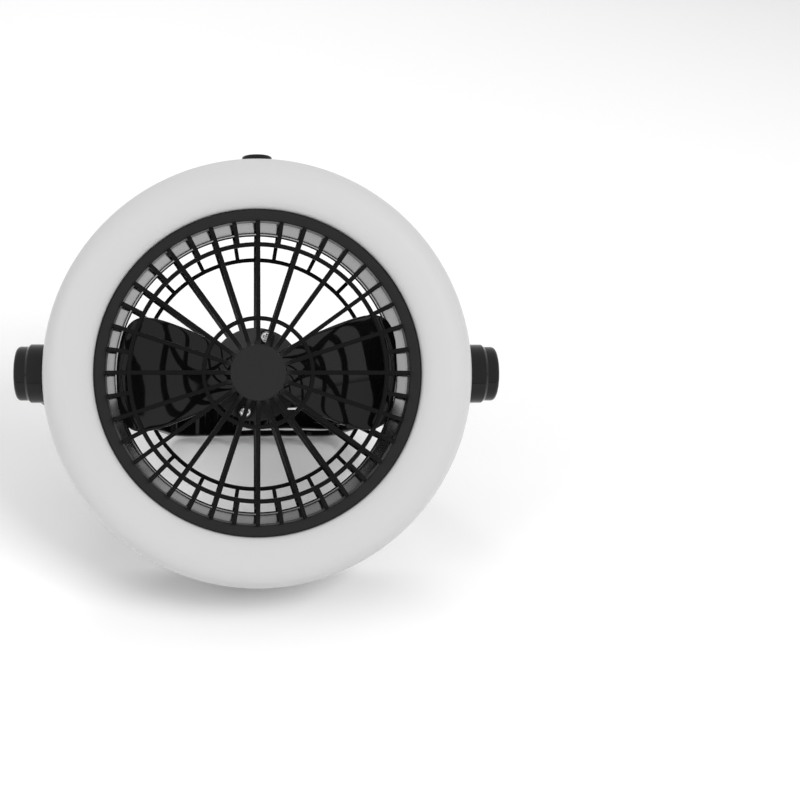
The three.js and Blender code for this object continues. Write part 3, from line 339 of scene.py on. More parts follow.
def piece(name, mesh, material, body, slot, *nodes, sharp=32):
    """A finished piece that rides on a body and stands for the named solids."""
    mesh.materials.clear()
    mesh.materials.append(material)
    mesh.shade_smooth()
    mesh.set_sharp_from_angle(angle=np.radians(sharp))
    made = bpy.data.objects.new(name, mesh)
    bpy.context.scene.collection.objects.link(made)
    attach(made, body)
    if nodes:
        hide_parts(*nodes)
    return made


# Shader groups
def group_of(name, inputs, outputs):
    """An empty shader node group with named sockets."""
    group = bpy.data.node_groups.new(name, "ShaderNodeTree")
    for kind, sockets in (("INPUT", inputs), ("OUTPUT", outputs)):
        for label, socket_type, value in sockets:
            socket = group.interface.new_socket(name=label, in_out=kind, socket_type=socket_type)
            if value is not None:
                socket.default_value = value
    return group, group.nodes.new("NodeGroupInput"), group.nodes.new("NodeGroupOutput")


def noise_into(tree, source, scale_from, detail, label):
    """A noise on Object coordinates, whose scale is linked to a socket."""
    noise = tree.nodes.new("ShaderNodeTexNoise")
    noise.label = label
    noise.inputs["Detail"].default_value = detail
    tree.links.new(source, noise.inputs["Vector"])
    tree.links.new(scale_from, noise.inputs["Scale"])
    return noise


def moulded_skin():
    """Moulded plastic: broad flow marks and a fine grain, given as a tint mask, a roughness and a normal."""
    floats = "NodeSocketFloat"
    group, entry, leave = group_of("moulded_skin", [
        ("Flow Scale", floats, 9.0), ("Grain Scale", floats, 900.0), ("Grain Depth", floats, 0.05),
        ("Rough Low", floats, 0.2), ("Rough High", floats, 0.3),
    ], [("Tint", floats, None), ("Roughness", floats, None), ("Normal", "NodeSocketVector", None)])
    where = group.nodes.new("ShaderNodeTexCoord").outputs["Object"]
    flow = noise_into(group, where, entry.outputs["Flow Scale"], 4.0, "flow marks")
    grain = noise_into(group, where, entry.outputs["Grain Scale"], 2.0, "grain")
    rough = group.nodes.new("ShaderNodeMapRange")
    rough.inputs["From Min"].default_value = 0.3
    rough.inputs["From Max"].default_value = 0.7
    group.links.new(flow.outputs["Fac"], rough.inputs["Value"])
    group.links.new(entry.outputs["Rough Low"], rough.inputs["To Min"])
    group.links.new(entry.outputs["Rough High"], rough.inputs["To Max"])
    bump = group.nodes.new("ShaderNodeBump")
    bump.inputs["Distance"].default_value = 0.0001
    group.links.new(grain.outputs["Fac"], bump.inputs["Height"])
    group.links.new(entry.outputs["Grain Depth"], bump.inputs["Strength"])
    group.links.new(flow.outputs["Fac"], leave.inputs["Tint"])
    group.links.new(rough.outputs["Result"], leave.inputs["Roughness"])
    group.links.new(bump.outputs["Normal"], leave.inputs["Normal"])
    return group


def handling_marks():
    """Fine dust and rubbed spots: a mask that is near one only on scattered small patches."""
    floats = "NodeSocketFloat"
    group, entry, leave = group_of("handling_marks", [
        ("Scale", floats, 60.0), ("Amount", floats, 0.5),
    ], [("Mask", floats, None)])
    where = group.nodes.new("ShaderNodeTexCoord").outputs["Object"]
    patches = noise_into(group, where, entry.outputs["Scale"], 8.0, "patches")
    ramp = group.nodes.new("ShaderNodeMapRange")
    ramp.inputs["From Min"].default_value = 0.58
    ramp.inputs["From Max"].default_value = 0.78
    group.links.new(patches.outputs["Fac"], ramp.inputs["Value"])
    group.links.new(entry.outputs["Amount"], ramp.inputs["To Max"])
    group.links.new(ramp.outputs["Result"], leave.inputs["Mask"])
    return group


SKIN = moulded_skin()
MARKS = handling_marks()


def shader(name, settings):
    """A material with its Principled shader, whose plain sockets are set by name."""
    material = bpy.data.materials.new(name)
    material.use_nodes = True
    principled = material.node_tree.nodes["Principled BSDF"]
    for label, value in settings.items():
        principled.inputs[label].default_value = value
    return material, material.node_tree, principled


def placed_group(tree, group, values):
    """A shader group placed in a material with its own values."""
    node = tree.nodes.new("ShaderNodeGroup")
    node.node_tree = group
    for label, value in values.items():
        node.inputs[label].default_value = value
    return node


def mixed_colour(tree, mask, low, high):
    """A colour that goes from low to high as the mask goes from zero to one."""
    mix = tree.nodes.new("ShaderNodeMix")
    mix.data_type = "RGBA"
    mix.inputs["A"].default_value = (*low, 1)
    mix.inputs["B"].default_value = (*high, 1)
    tree.links.new(mask, mix.inputs["Factor"])
    return mix.outputs["Result"]


def plastic(name, low, high, marked, settings, skin, marks, with_painted_light=False):
    """Moulded plastic: its colour drifts between two tones and gains a third on handled spots.

    One with painted light has its colour scaled by the share of painted light and shade kept on the corners
    of its mesh.
    """
    material, tree, principled = shader(name, settings)
    surface = placed_group(tree, SKIN, skin)
    worn = placed_group(tree, MARKS, marks)
    tone = mixed_colour(tree, surface.outputs["Tint"], low, high)
    mix = tree.nodes.new("ShaderNodeMix")
    mix.data_type = "RGBA"
    mix.inputs["B"].default_value = (*marked, 1)
    tree.links.new(worn.outputs["Mask"], mix.inputs["Factor"])
    tree.links.new(tone, mix.inputs["A"])
    colour = mix.outputs["Result"]
    # painted light and shade: the base colour is scaled by the share kept on the mesh's corners
    if with_painted_light:
        light_paint = tree.nodes.new("ShaderNodeAttribute")
        light_paint.attribute_name = PAINTED_LIGHT
        scale = tree.nodes.new("ShaderNodeVectorMath")
        scale.operation = "SCALE"
        tree.links.new(colour, scale.inputs[0])
        tree.links.new(light_paint.outputs["Fac"], scale.inputs["Scale"])
        colour = scale.outputs[0]
    tree.links.new(colour, principled.inputs["Base Color"])
    tree.links.new(surface.outputs["Roughness"], principled.inputs["Roughness"])
    tree.links.new(surface.outputs["Normal"], principled.inputs["Normal"])
    return material


def grey(value):
    """A neutral colour."""
    return (value, value, value)


GLOSS_BLACK = plastic(
    "gloss_black_plastic", grey(0.004), grey(0.006), grey(0.012),
    {"Specular IOR Level": 0.27, "IOR": 1.45},
    {"Flow Scale": 14.0, "Grain Scale": 260.0, "Grain Depth": 0.01, "Rough Low": 0.02, "Rough High": 0.05},
    {"Scale": 220.0, "Amount": 0.1})
SHELL_BLACK = plastic(
    "shell_black_plastic", grey(0.006), grey(0.010), grey(0.018),
    {"Specular IOR Level": 0.13, "IOR": 1.45},
    {"Flow Scale": 14.0, "Grain Scale": 900.0, "Grain Depth": 0.02, "Rough Low": 0.12, "Rough High": 0.17},
    {"Scale": 220.0, "Amount": 0.12})
SATIN_BLACK = plastic(
    "satin_black_plastic", grey(0.009), grey(0.013), grey(0.026),
    {"Specular IOR Level": 0.18, "IOR": 1.46},
    {"Flow Scale": 30.0, "Grain Scale": 2600.0, "Grain Depth": 0.16, "Rough Low": 0.34, "Rough High": 0.42},
    {"Scale": 300.0, "Amount": 0.15})
# its colour carries painted shade on the grille bars and painted light on the motor plate's face
GUARD_BLACK = plastic(
    "guard_black_plastic", grey(0.016), grey(0.020), grey(0.026),
    {"Specular IOR Level": 0.1, "IOR": 1.46},
    {"Flow Scale": 30.0, "Grain Scale": 2600.0, "Grain Depth": 0.12, "Rough Low": 0.3, "Rough High": 0.38},
    {"Scale": 300.0, "Amount": 0.1}, with_painted_light=True)
MILKY_WHITE = plastic(
    "milky_white_plastic", grey(0.52), grey(0.535), grey(0.5),
    {"Specular IOR Level": 0.4, "IOR": 1.49},
    {"Flow Scale": 3.0, "Grain Scale": 1800.0, "Grain Depth": 0.02, "Rough Low": 0.298, "Rough High": 0.31},
    {"Scale": 2600.0, "Amount": 0.05})


def metal(name, low, high, rough_low, rough_high, grain_scale, stretch):
    """Plated steel: a grain stretched along one axis lifts and lowers the roughness and the tone."""
    material, tree, principled = shader(name, {"Metallic": 1.0})
    where = tree.nodes.new("ShaderNodeTexCoord")
    mapping = tree.nodes.new("ShaderNodeMapping")
    mapping.inputs["Scale"].default_value = stretch
    tree.links.new(where.outputs["Object"], mapping.inputs["Vector"])
    noise = tree.nodes.new("ShaderNodeTexNoise")
    noise.inputs["Scale"].default_value = grain_scale
    noise.inputs["Detail"].default_value = 3.0
    tree.links.new(mapping.outputs["Vector"], noise.inputs["Vector"])
    rough = tree.nodes.new("ShaderNodeMapRange")
    rough.inputs["To Min"].default_value = rough_low
    rough.inputs["To Max"].default_value = rough_high
    tree.links.new(noise.outputs["Fac"], rough.inputs["Value"])
    tree.links.new(rough.outputs["Result"], principled.inputs["Roughness"])
    tree.links.new(mixed_colour(tree, noise.outputs["Fac"], low, high), principled.inputs["Base Color"])
    return material


CHROME = metal("bright_chrome", grey(0.74), grey(0.8), 0.06, 0.14, 400.0, (1, 1, 1))
ZINC = metal("zinc_plated_steel", (0.42, 0.43, 0.45), (0.52, 0.53, 0.55), 0.28, 0.42, 500.0, (1, 1, 6))
SPRING_STEEL = metal("spring_steel", (0.55, 0.54, 0.5), (0.66, 0.65, 0.6), 0.18, 0.28, 700.0, (1, 1, 3))


def circuit_board(name, low, high, pad):
    """A printed board: solder mask over a faint pattern of tracks, with small bright pads."""
    material, tree, principled = shader(name, {"Roughness": 0.38})
    where = tree.nodes.new("ShaderNodeTexCoord")
    tracks = tree.nodes.new("ShaderNodeTexBrick")
    tracks.inputs["Scale"].default_value = 160.0
    tracks.inputs["Mortar Size"].default_value = 0.03
    tracks.inputs["Color1"].default_value = (*low, 1)
    tracks.inputs["Color2"].default_value = (*high, 1)
    tracks.inputs["Mortar"].default_value = (*pad, 1)
    tree.links.new(where.outputs["Object"], tracks.inputs["Vector"])
    tree.links.new(tracks.outputs["Color"], principled.inputs["Base Color"])
    return material


BOARD_GREEN = circuit_board("green_board", (0.015, 0.09, 0.03), (0.02, 0.11, 0.04), (0.05, 0.2, 0.08))
BOARD_WHITE = circuit_board("white_board", (0.7, 0.7, 0.66), (0.74, 0.74, 0.7), (0.6, 0.6, 0.55))


def cell_sleeve():
    """A battery's shrunk sleeve: dark along its length, with a copper-toned band at the nub end."""
    material, tree, principled = shader("cell_sleeve", {"Metallic": 0.35, "Roughness": 0.3})
    band = tree.nodes.new("ShaderNodeAttribute")
    band.attribute_name = "along"
    ramp = tree.nodes.new("ShaderNodeValToRGB")
    ramp.color_ramp.interpolation = "CONSTANT"
    stops = ramp.color_ramp.elements
    stops[0].color = (0.03, 0.032, 0.036, 1)
    stops[1].position = 0.74
    stops[1].color = (0.5, 0.22, 0.07, 1)
    cap = stops.new(0.965)
    cap.color = (0.6, 0.6, 0.6, 1)
    tree.links.new(band.outputs["Fac"], ramp.inputs["Fac"])
    tree.links.new(ramp.outputs["Color"], principled.inputs["Base Color"])
    return material


CELL_SLEEVE = cell_sleeve()


# Camera, as the photo's large front view: straight on to the fan, which leans back, and well to its right
LENS = 50
SENSOR = 36
SHIFT = (0.1788, -0.03375)
CAMERA_FROM = (-0.0112, -0.0079, 0.624)
CAMERA_TO = (0.0007, 0.0008, 0)


def add_camera():
    """A camera near the fan's axis, shifted so that the fan lies left of the picture's middle."""
    camera = bpy.data.objects.new("camera", bpy.data.cameras.new("camera"))
    bpy.context.scene.collection.objects.link(camera)
    camera.data.lens = LENS
    camera.data.sensor_width = SENSOR
    camera.data.shift_x, camera.data.shift_y = SHIFT
    camera.data.clip_start = 0.01
    place = FAN @ Vector(CAMERA_FROM)
    away = (place - FAN @ Vector(CAMERA_TO)).normalized()
    right = UP_WAY.cross(away).normalized()
    camera.matrix_world = axes(right, away.cross(right), away, place)
    bpy.context.scene.camera = camera


add_camera()


# Housing shells
def door_outline(grow, inner_grow, corner=0.0006):
    """The door's plan: straight inner edge and ends, and an outer edge that is an arc round the fan."""
    reach = DOOR["outer"] + grow
    side = DOOR["half_length"] + grow
    turn = np.degrees(np.arcsin(side / reach))
    inner = DOOR["inner"] - inner_grow
    rim = arc((0, 0), reach, -turn, turn, 40)
    outline = np.vstack([[[inner, side], [inner, -side]], rim])
    radii = np.zeros(len(outline))
    radii[[0, 1, 2, -1]] = corner
    return rounded(outline, radii)


def bay_box(low, high, grow=0.0):
    """The inside of a battery bay."""
    width, length = BAY["width"] / 2 + grow, BAY["length"] / 2 + grow
    return prism(rectangle(BAY["reach"] - width, BAY["reach"] + width, -length, length), low, high)


def seam_bore(radius, inner_radius):
    """A round hole across the seam: narrow through the wall and wide behind it, drawn along Z."""
    wall = HOUSING["radius"] - HOUSING["wall"]
    return revolve([
        [0, BUTTON["well"]], [inner_radius, BUTTON["well"]], [inner_radius, wall], [radius, wall],
        [radius, HOUSING["radius"] + OVERRUN], [0, HOUSING["radius"] + OVERRUN],
    ], DISC)


def button_bore():
    """The hole for the button, with the gap round it, where it lies in the fan."""
    return moved(seam_bore(BUTTON["radius"] + GAP, BUTTON["flange_radius"] + GAP), button_place())


def button_place():
    """Axes of the button: Z towards the top of the fan, at the height of the seam."""
    return Matrix.Translation((0, 0, HOUSING["seam"])) @ Matrix.Rotation(np.radians(-90), 4, "X")


BAY_ANGLES = even_angles(BAY["count"], BAY["first_angle"])
SCREW_ANGLES = even_angles(BAY["count"], CASE_SCREW["first_angle"])
BAY_FLOOR = DOOR["thick"] + GAP + BAY["depth"]


def rear_shell():
    """The back tray: a ring with rounded rims, less the door seats, bays, screw wells and button hole."""
    edge, mouth = HOUSING["edge"], DUCT["mouth"]
    duct, radius, seam = DUCT["radius"], HOUSING["radius"], HOUSING["seam"]
    inside = radius - HOUSING["wall"]
    top = DUCT["shelf"] - GAP
    profile = rounded([
        [duct, top], [duct, 0], [radius, 0], [radius, seam], [radius - SEAM_GROOVE, seam + SEAM_GROOVE / 2],
        [inside, seam + SEAM_GROOVE / 2], [inside, seam - HOUSING["wall"]],
        [duct + DUCT["wall"], seam - HOUSING["wall"]], [duct + DUCT["wall"], top],
    ], [0, mouth, edge, 0.0003, 0, 0, 0, 0, 0], steps=8)
    mesh = mesh_of("rear_shell", [revolve(profile)], Matrix())
    knuckle = DOOR["thick"] / 2 + GAP
    seats = prism(door_outline(GAP, knuckle), -OVERRUN, DOOR["thick"] + GAP)
    bays = bay_box(0, BAY_FLOOR)
    well = revolve([[0, -OVERRUN], [CASE_SCREW["well"], -OVERRUN], [CASE_SCREW["well"], CASE_SCREW["floor"]],
                    [0, CASE_SCREW["floor"]]], PIN)
    well = moved(well, Matrix.Translation((CASE_SCREW["reach"], 0, 0)))
    cutters = [copies(seats, BAY_ANGLES), copies(bays, BAY_ANGLES), copies(well, SCREW_ANGLES)]
    cutters.append([button_bore()])
    return cut(mesh, cutters, Matrix())


def front_shell():
    """The front ring: outer wall, shelf under the light and collar under the guard."""
    radius, depth, seam, wall = HOUSING["radius"], HOUSING["depth"], HOUSING["seam"], HOUSING["wall"]
    inside = radius - wall
    shelf, shelf_top = DUCT["shelf"], DUCT["shelf"] + DUCT["shelf_thick"]
    duct, duct_outer = DUCT["radius"], DUCT["radius"] + DUCT["wall"]
    collar = shelf_top + DUCT["collar"]
    groove = SEAM_GROOVE
    profile = rounded([
        [radius, seam + groove], [radius, depth], [inside, depth], [inside, shelf_top],
        [duct_outer, shelf_top], [duct_outer, collar], [duct, collar], [duct, shelf],
        [inside, shelf], [inside, seam + groove / 2], [radius - groove, seam + groove / 2],
    ], [0.0003, 0.0004, 0, 0, 0, 0, 0, 0, 0, 0, 0])
    mesh = mesh_of("front_shell", [revolve(profile)], Matrix())
    return cut(mesh, [[button_bore()]], Matrix())


def light_cover():
    """The milky crown: two elliptical quarters over the light, an outer lip and an inner skirt."""
    wall, crown_radius = COVER["wall"], COVER["crown_radius"]
    outer = (COVER["radius"] - crown_radius, COVER["crown"] - COVER["equator"])
    inner = (crown_radius - COVER["inner_radius"], COVER["crown"] - COVER["inner"])
    low = HOUSING["depth"] + GAP
    start = -np.degrees(np.arcsin((COVER["equator"] - low) / outer[1]))
    skirt = DUCT["shelf"] + DUCT["shelf_thick"] + GAP
    lip = HOUSING["radius"] - HOUSING["wall"]
    profile = np.vstack([
        [[lip, low]],
        arc((crown_radius, COVER["equator"]), outer, start, 90, 28),
        arc((crown_radius, COVER["inner"]), inner, 90, 180, 16)[1:],
        [[COVER["inner_radius"], skirt], [COVER["inner_radius"] + wall, skirt]],
        arc((crown_radius, COVER["inner"] - wall), (inner[0] - wall, inner[1]), 180, 90, 8),
        arc((crown_radius, COVER["equator"]), (outer[0] - wall, outer[1] - wall), 90, 0, 12)[1:],
        [[lip, COVER["equator"]]],
    ])
    return mesh_of("light_cover", [revolve(profile)], FAN)


# Guards
def bar_section(width, depth, rounding):
    """A bar's cross-section: a rectangle with its outer face on the path and rounded corners."""
    return rounded(rectangle(-width / 2, width / 2, -depth, 0), rounding, steps=3)


def radial_bars(line, section, count):
    """A bar along a line of radius and height, repeated round the fan."""
    path = np.stack([line[:, 0], 0 * line[:, 0], line[:, 1]], -1)
    return copies(sweep(path, section, across=(0, -1, 0)), even_angles(count))


def dome(radius):
    """Height of the front guard's dome: it falls with the square of the radius, down to the outer ring."""
    return FRONT["hub"] - (FRONT["hub"] - FRONT["ring"]) * (radius / FRONT["ring_radius"]) ** 2


def guard_ring(radius, face, way):
    """A round ring whose outer face lies at a height and whose back lies a bar's depth behind it."""
    half, depth, rounding = BAR["width"] / 2, BAR["depth"] * way, BAR["round"]
    corners = [[radius - half, face], [radius + half, face],
               [radius + half, face - depth], [radius - half, face - depth]]
    return revolve(rounded(corners, [rounding * 1.3] * 2 + [rounding] * 2, steps=3))


def with_painted_light(mesh, rule):
    """Keeps on each corner of a mesh the share of painted light and shade that a rule gives for its radius
    and height in the fan.
    """
    inverse = np.array(FAN.inverted())
    points = np.empty(3 * len(mesh.vertices))
    mesh.vertices.foreach_get("co", points)
    points = points.reshape(-1, 3) @ inverse[:3, :3].T + inverse[:3, 3]
    light_paint_shares = rule(np.hypot(points[:, 0], points[:, 1]), points[:, 2])
    light_paint = mesh.attributes.new(PAINTED_LIGHT, "FLOAT", "POINT")
    light_paint.data.foreach_set("value", light_paint_shares.astype(np.float32))
    return mesh


def front_painted_light(radius, _height):
    """Painted shade: the bars and rings between the hub and the rim are darker than the hub and the rim."""
    between = (radius > FRONT["hub_radius"] + GAP / 2) & (radius < DUCT["radius"] - GAP / 2)
    return np.where(between, PAINTED_LIGHT_SHARES["bar"], PAINTED_LIGHT_SHARES["rim"])


def back_painted_light(radius, height):
    """Painted light makes the motor plate lightest on its face towards the motor, and painted shade makes
    the bars darkest.
    """
    inner_face = height > BACK["plate"] + BACK["plate_thick"] / 2
    plate = np.where(inner_face, PAINTED_LIGHT_SHARES["plate"], PAINTED_LIGHT_SHARES["plate_back"])
    return np.where(radius < BACK["plate_radius"] + GAP / 2, plate, PAINTED_LIGHT_SHARES["bar"])


def front_grille():
    """Rim, hub, two rings, spokes on the dome and rim bars round the shoulder."""
    duct, rim, wall = DUCT["radius"], FRONT["rim"], FRONT["wall"]
    outer = COVER["inner_radius"] - GAP
    foot = DUCT["shelf"] + DUCT["shelf_thick"] + DUCT["collar"] + GAP
    rim_shape = revolve(rounded([
        [duct, foot], [duct + wall, foot], [duct + wall, rim - FRONT["flange"]],
        [outer, rim - FRONT["flange"]], [outer, rim], [duct, rim],
    ], [0, 0, 0, 0, 0.0005, 0.0005]))
    hub = revolve(rounded([
        [0, FRONT["hub"] - FRONT["hub_thick"]], [FRONT["hub_radius"], FRONT["hub"] - FRONT["hub_thick"]],
        [FRONT["hub_radius"], FRONT["hub"]], [0, FRONT["hub"]],
    ], [0, 0.0004, 0.0007, 0], closed=False), DISC)
    rings = [guard_ring(FRONT["ring_radius"], FRONT["ring"], 1),
             guard_ring(FRONT["inner_ring_radius"], dome(FRONT["inner_ring_radius"]), 1)]
    spoke_radius = np.linspace(FRONT["hub_radius"] - OVERRUN, FRONT["ring_radius"], 14)
    spoke = np.stack([spoke_radius, dome(spoke_radius) - BAR["spoke_drop"]], -1)
    section = bar_section(BAR["width"], BAR["depth"] - BAR["spoke_drop"], BAR["round"])
    drop = FRONT["shoulder_drop"]
    wide = duct + wall / 2 - FRONT["ring_radius"]
    shoulder = arc((FRONT["ring_radius"], FRONT["ring"] - drop), (wide, drop - BAR["spoke_drop"]), 90, 0, 14)
    bars = radial_bars(shoulder, section, RIM_BARS)
    spokes = radial_bars(spoke, section, SPOKES)
    # painted shade on the bars and rings between hub and rim
    return with_painted_light(mesh_of("front_grille", [rim_shape, hub, *rings, *spokes, *bars], FAN), front_painted_light)


def back_grille():
    """Motor plate, ring, spokes, bars that turn into the duct, and the seat ring inside it."""
    plate, thick = BACK["plate"], BACK["plate_thick"]
    plate_shape = revolve(rounded([
        [0, plate], [BACK["plate_radius"], plate], [BACK["plate_radius"], plate + thick], [0, plate + thick],
    ], [0, BACK["plate_round"], 0, 0], closed=False), DISC)
    ring_radius, ring = FRONT["ring_radius"], BACK["ring"]
    seat_outer = DUCT["radius"] - GAP
    seat = revolve(rounded(rectangle(seat_outer - BACK["seat_wall"], seat_outer, BACK["seat"],
                                     BACK["seat"] + BACK["seat_depth"]), 0.0004))
    start = BACK["plate_radius"] - OVERRUN
    face = plate + BACK["plate_round"]
    section = bar_section(BAR["width"], BAR["depth"], BAR["round"])
    spoke = np.array([[ring_radius, ring + BAR["spoke_drop"]], [start, face]])
    drop = BACK["seat"] + BACK["seat_depth"] / 2 - ring
    wide = seat_outer - ring_radius - GAP
    shoulder = arc((ring_radius, ring + drop), (wide, drop - BAR["spoke_drop"]), 360, 270, 14)
    shapes = [plate_shape, guard_ring(ring_radius, ring, -1), seat]
    shapes += radial_bars(spoke, section, SPOKES)
    shapes += radial_bars(shoulder, section, RIM_BARS)
    # painted light on the motor plate's face towards the motor, painted shade on the bars
    return with_painted_light(mesh_of("back_grille", shapes, FAN), back_painted_light)


# Motor and rotor
BRACKET_LOW = BACK["plate"] + BACK["plate_thick"] + GAP
BRACKET_TOP = BRACKET_LOW + BRACKET["thick"]
MOTOR_LOW = BRACKET_TOP + GAP
MOTOR_TOP = MOTOR_LOW + MOTOR["length"]


def motor_body():
    """The can: a rounded drawn shell, and the bearing nose."""
    radius, nose = MOTOR["radius"], MOTOR["nose_radius"]
    top = MOTOR_TOP + MOTOR["nose_length"]
    return mesh_of("motor_body", [revolve(rounded([
        [0, MOTOR_LOW], [radius, MOTOR_LOW], [radius, MOTOR_TOP], [nose, MOTOR_TOP], [nose, top], [0, top],
    ], [0, 0.0006, 0.0016, 0.0003, 0.0003, 0], closed=False), DISC)], FAN)


def bracket_outline():
    """The bracket's plan: a disc with two opposite ears, as the larger of the disc's and the ears' reach."""
    angle = np.radians(even_angles(240))
    lift = np.abs(np.cos(angle))
    across = np.abs(np.sin(angle))
    ear_reach, ear = BRACKET["ear_reach"], BRACKET["ear_radius"]
    inside = np.clip(ear ** 2 - (ear_reach * across) ** 2, 0, None)
    reach = np.where(ear_reach * across < ear, ear_reach * lift + np.sqrt(inside), 0)
    side = np.where(across > 1e-6, ear / np.maximum(across, 1e-6), 1)
    reach = np.where((side * lift < ear_reach) & (reach == 0), np.minimum(side, ear_reach + ear), reach)
    reach = np.maximum(reach, BRACKET["radius"])
    return np.stack([reach * np.cos(angle), reach * np.sin(angle)], -1)


def motor_mount():
    """The pressed bracket: plate with ears and a cup round the can."""
    inner = MOTOR["radius"] + GAP
    cup = revolve(rounded(rectangle(inner, inner + BRACKET["cup_wall"], BRACKET_LOW,
                                    BRACKET_TOP + BRACKET["cup_height"]), [0, 0, 0.0005, 0.0003]), DISC)
    plate = prism(bracket_outline(), BRACKET_LOW, BRACKET_TOP, 0, 0.0003)
    return mesh_of("motor_mount", [moved(plate, spin(BRACKET["angle"])), cup], FAN)


def cross_head(radius, height, low, way=1):
    """A domed screw head with a cross recess: its height falls with the square of the radius, and the recess
    deepens towards the middle inside two crossed slots."""
    share = np.linspace(0, 1, 30)[:, None]
    angle = np.radians(even_angles(DISC))[None, :]
    r = radius * share
    x, y = r * np.cos(angle), r * np.sin(angle)
    dome_height = height * (0.62 + 0.38 * np.sqrt(np.clip(1 - share ** 4, 0, 1)))
    slot = np.minimum(np.abs(x), np.abs(y)) / (0.17 * radius)
    along = np.maximum(np.abs(x), np.abs(y)) / (0.66 * radius)
    recess = np.clip(1.6 - slot * 1.3, 0, 1) * np.clip((1 - along) * 3, 0, 1)
    z = dome_height - 0.5 * height * recess
    top = np.stack([x, y, low + way * z], -1)
    skirt = np.stack([x[-1:], y[-1:], low + 0 * x[-1:]], -1)
    middle = np.zeros((1, DISC, 3))
    middle[..., 2] = low
    return grid(np.concatenate([top, skirt, middle]), wrap_columns=True)


def plate_screw(name, angle):
    """One of the two bright screws that hold the bracket."""
    head = cross_head(MOTOR_SCREW["radius"], MOTOR_SCREW["height"], BRACKET_TOP + GAP)
    return mesh_of(name, [moved(head, spin(angle) @ Matrix.Translation((BRACKET["ear_reach"], 0, 0)))], FAN)


def blade_surface():
    """A blade as a closed tube of chord lines from root to tip.

    The chord widens with the share of the radius, and a superellipse rounds the tip's corners.
    The chord line rises from its trailing to its leading edge and dips in its middle, more towards the tip.
    """
    rows, columns = 44, 40
    along = np.sin(np.linspace(0, np.pi / 2, rows))[:, None]
    radius = BLADE["root"] + (BLADE["tip"] - BLADE["root"]) * along
    power = BLADE["corner_power"]
    corner = (1 - np.minimum(along, 0.9995) ** power) ** (1 / power)
    width = BLADE["root_chord"] + (BLADE["chord"] - BLADE["root_chord"]) * along ** BLADE["chord_power"]
    spread = np.maximum(width / 2 * corner, 0.0002)
    rise = BLADE["root_rise"] + (BLADE["tip_rise"] - BLADE["root_rise"]) * along
    turn = np.linspace(0, 2 * np.pi, 2 * columns, endpoint=False)[None, :]
    side = np.sign(np.cos(turn)) * np.abs(np.cos(turn)) ** 0.8
    edge = np.sign(np.sin(turn)) * np.abs(np.sin(turn)) ** 0.35
    thick = BLADE["thick"] / 2 * np.sqrt(np.clip(1 - along ** 24, 0.02, 1))
    bow = BLADE["cup"] * along * (1 - side ** 2) * corner
    height = BLADE["middle"] + rise / 2 * side * corner - bow + thick * edge
    reach = np.sqrt(np.clip(radius ** 2 - (spread * side) ** 2, (0.6 * BLADE["root"]) ** 2, None))
    return grid(np.stack([reach, spread * side, height], -1), wrap_columns=True, caps=True)


def blade_rotor():
    """The hub with its rounded nose and two broad blades."""
    radius, low, top = ROTOR["hub_radius"], ROTOR["hub"], ROTOR["hub"] + ROTOR["hub_height"]
    web = top - ROTOR["nose_thick"]
    inside = radius - 0.002
    hub = revolve(rounded([
        [0, web], [inside, web], [inside, low], [radius, low], [radius, top], [0, top],
    ], [0, 0, 0, 0.0004, ROTOR["nose_round"], 0], closed=False, steps=8), DISC)
    return mesh_of("blade_rotor", [hub, *copies(blade_surface(), (0, 180))], FAN)


# Battery doors, cells, contacts and case screws
def door_cover(name, angle):
    """A door: plate with rounded rims, hinge rod along its straight edge and a slot for a finger nail."""
    plate = prism(door_outline(0, 0), 0, DOOR["thick"], DOOR["round"], 0.0002)
    mesh = mesh_of(name, [plate], Matrix())
    slot = rounded(rectangle(NOTCH["radius"] - NOTCH["width"] / 2, NOTCH["radius"] + NOTCH["width"] / 2,
                             -NOTCH["length"] / 2, NOTCH["length"] / 2), 0.0006)
    mesh = cut(mesh, [[prism(slot, -OVERRUN, NOTCH["depth"])]], Matrix())
    rod_radius = DOOR["thick"] / 2
    rod = revolve(rounded([[0, -DOOR["half_length"]], [rod_radius, -DOOR["half_length"]],
                           [rod_radius, DOOR["half_length"]], [0, DOOR["half_length"]]],
                          [0, 0.0003, 0.0003, 0], closed=False), PIN)
    along = Matrix.Rotation(np.radians(-90), 4, "X")
    rod = moved(rod, Matrix.Translation((DOOR["inner"], 0, rod_radius)) @ along)
    joined = bmesh.new()
    joined.from_mesh(mesh)
    joined.from_mesh(mesh_of("rod", [rod], Matrix()))
    joined.to_mesh(mesh)
    joined.free()
    mesh.transform(FAN @ spin(angle))
    return mesh


def cell_height(k):
    """How far the middle of a cell lies in front of the back face."""
    return BAY_FLOOR - GAP - CELL["radius"] - k * (2 * CELL["radius"] + GAP)


def cell_mesh(name, angle, k):
    """A cell: rounded can and nub, every second one the other way round."""
    half, radius = CELL["length"] / 2, CELL["radius"]
    nub = half + CELL["nub_length"]
    profile = rounded([
        [0, -half], [radius, -half], [radius, half],
        [CELL["nub_radius"], half], [CELL["nub_radius"], nub], [0, nub],
    ], [0, CELL["round"], CELL["round"], 0.0003, 0.0005, 0], closed=False)
    shape = revolve(profile, PIN)
    flip = 180 if k % 2 else 0
    upright = Matrix.Translation((0, -CELL["nub_length"] / 2, 0)) @ Matrix.Rotation(np.radians(-90), 4, "X")
    place = FAN @ spin(angle) @ Matrix.Translation((BAY["reach"], 0, cell_height(k))) @ spin(flip) @ upright
    mesh = mesh_of(name, [shape], place)
    along = mesh.attributes.new("along", "FLOAT", "POINT")
    along.data.foreach_set("value", ((shape[0][:, 2] + half) / (nub + half)).astype(np.float32))
    return mesh


def case_screw(name, angle):
    """A case screw's head, sunk at the bottom of its well and facing the back."""
    seat = CASE_SCREW["floor"] - GAP
    head = cross_head(CASE_SCREW["radius"], CASE_SCREW["height"], seat, way=-1)
    return mesh_of(name, [moved(head, spin(angle) @ Matrix.Translation((CASE_SCREW["reach"], 0, 0)))], FAN)


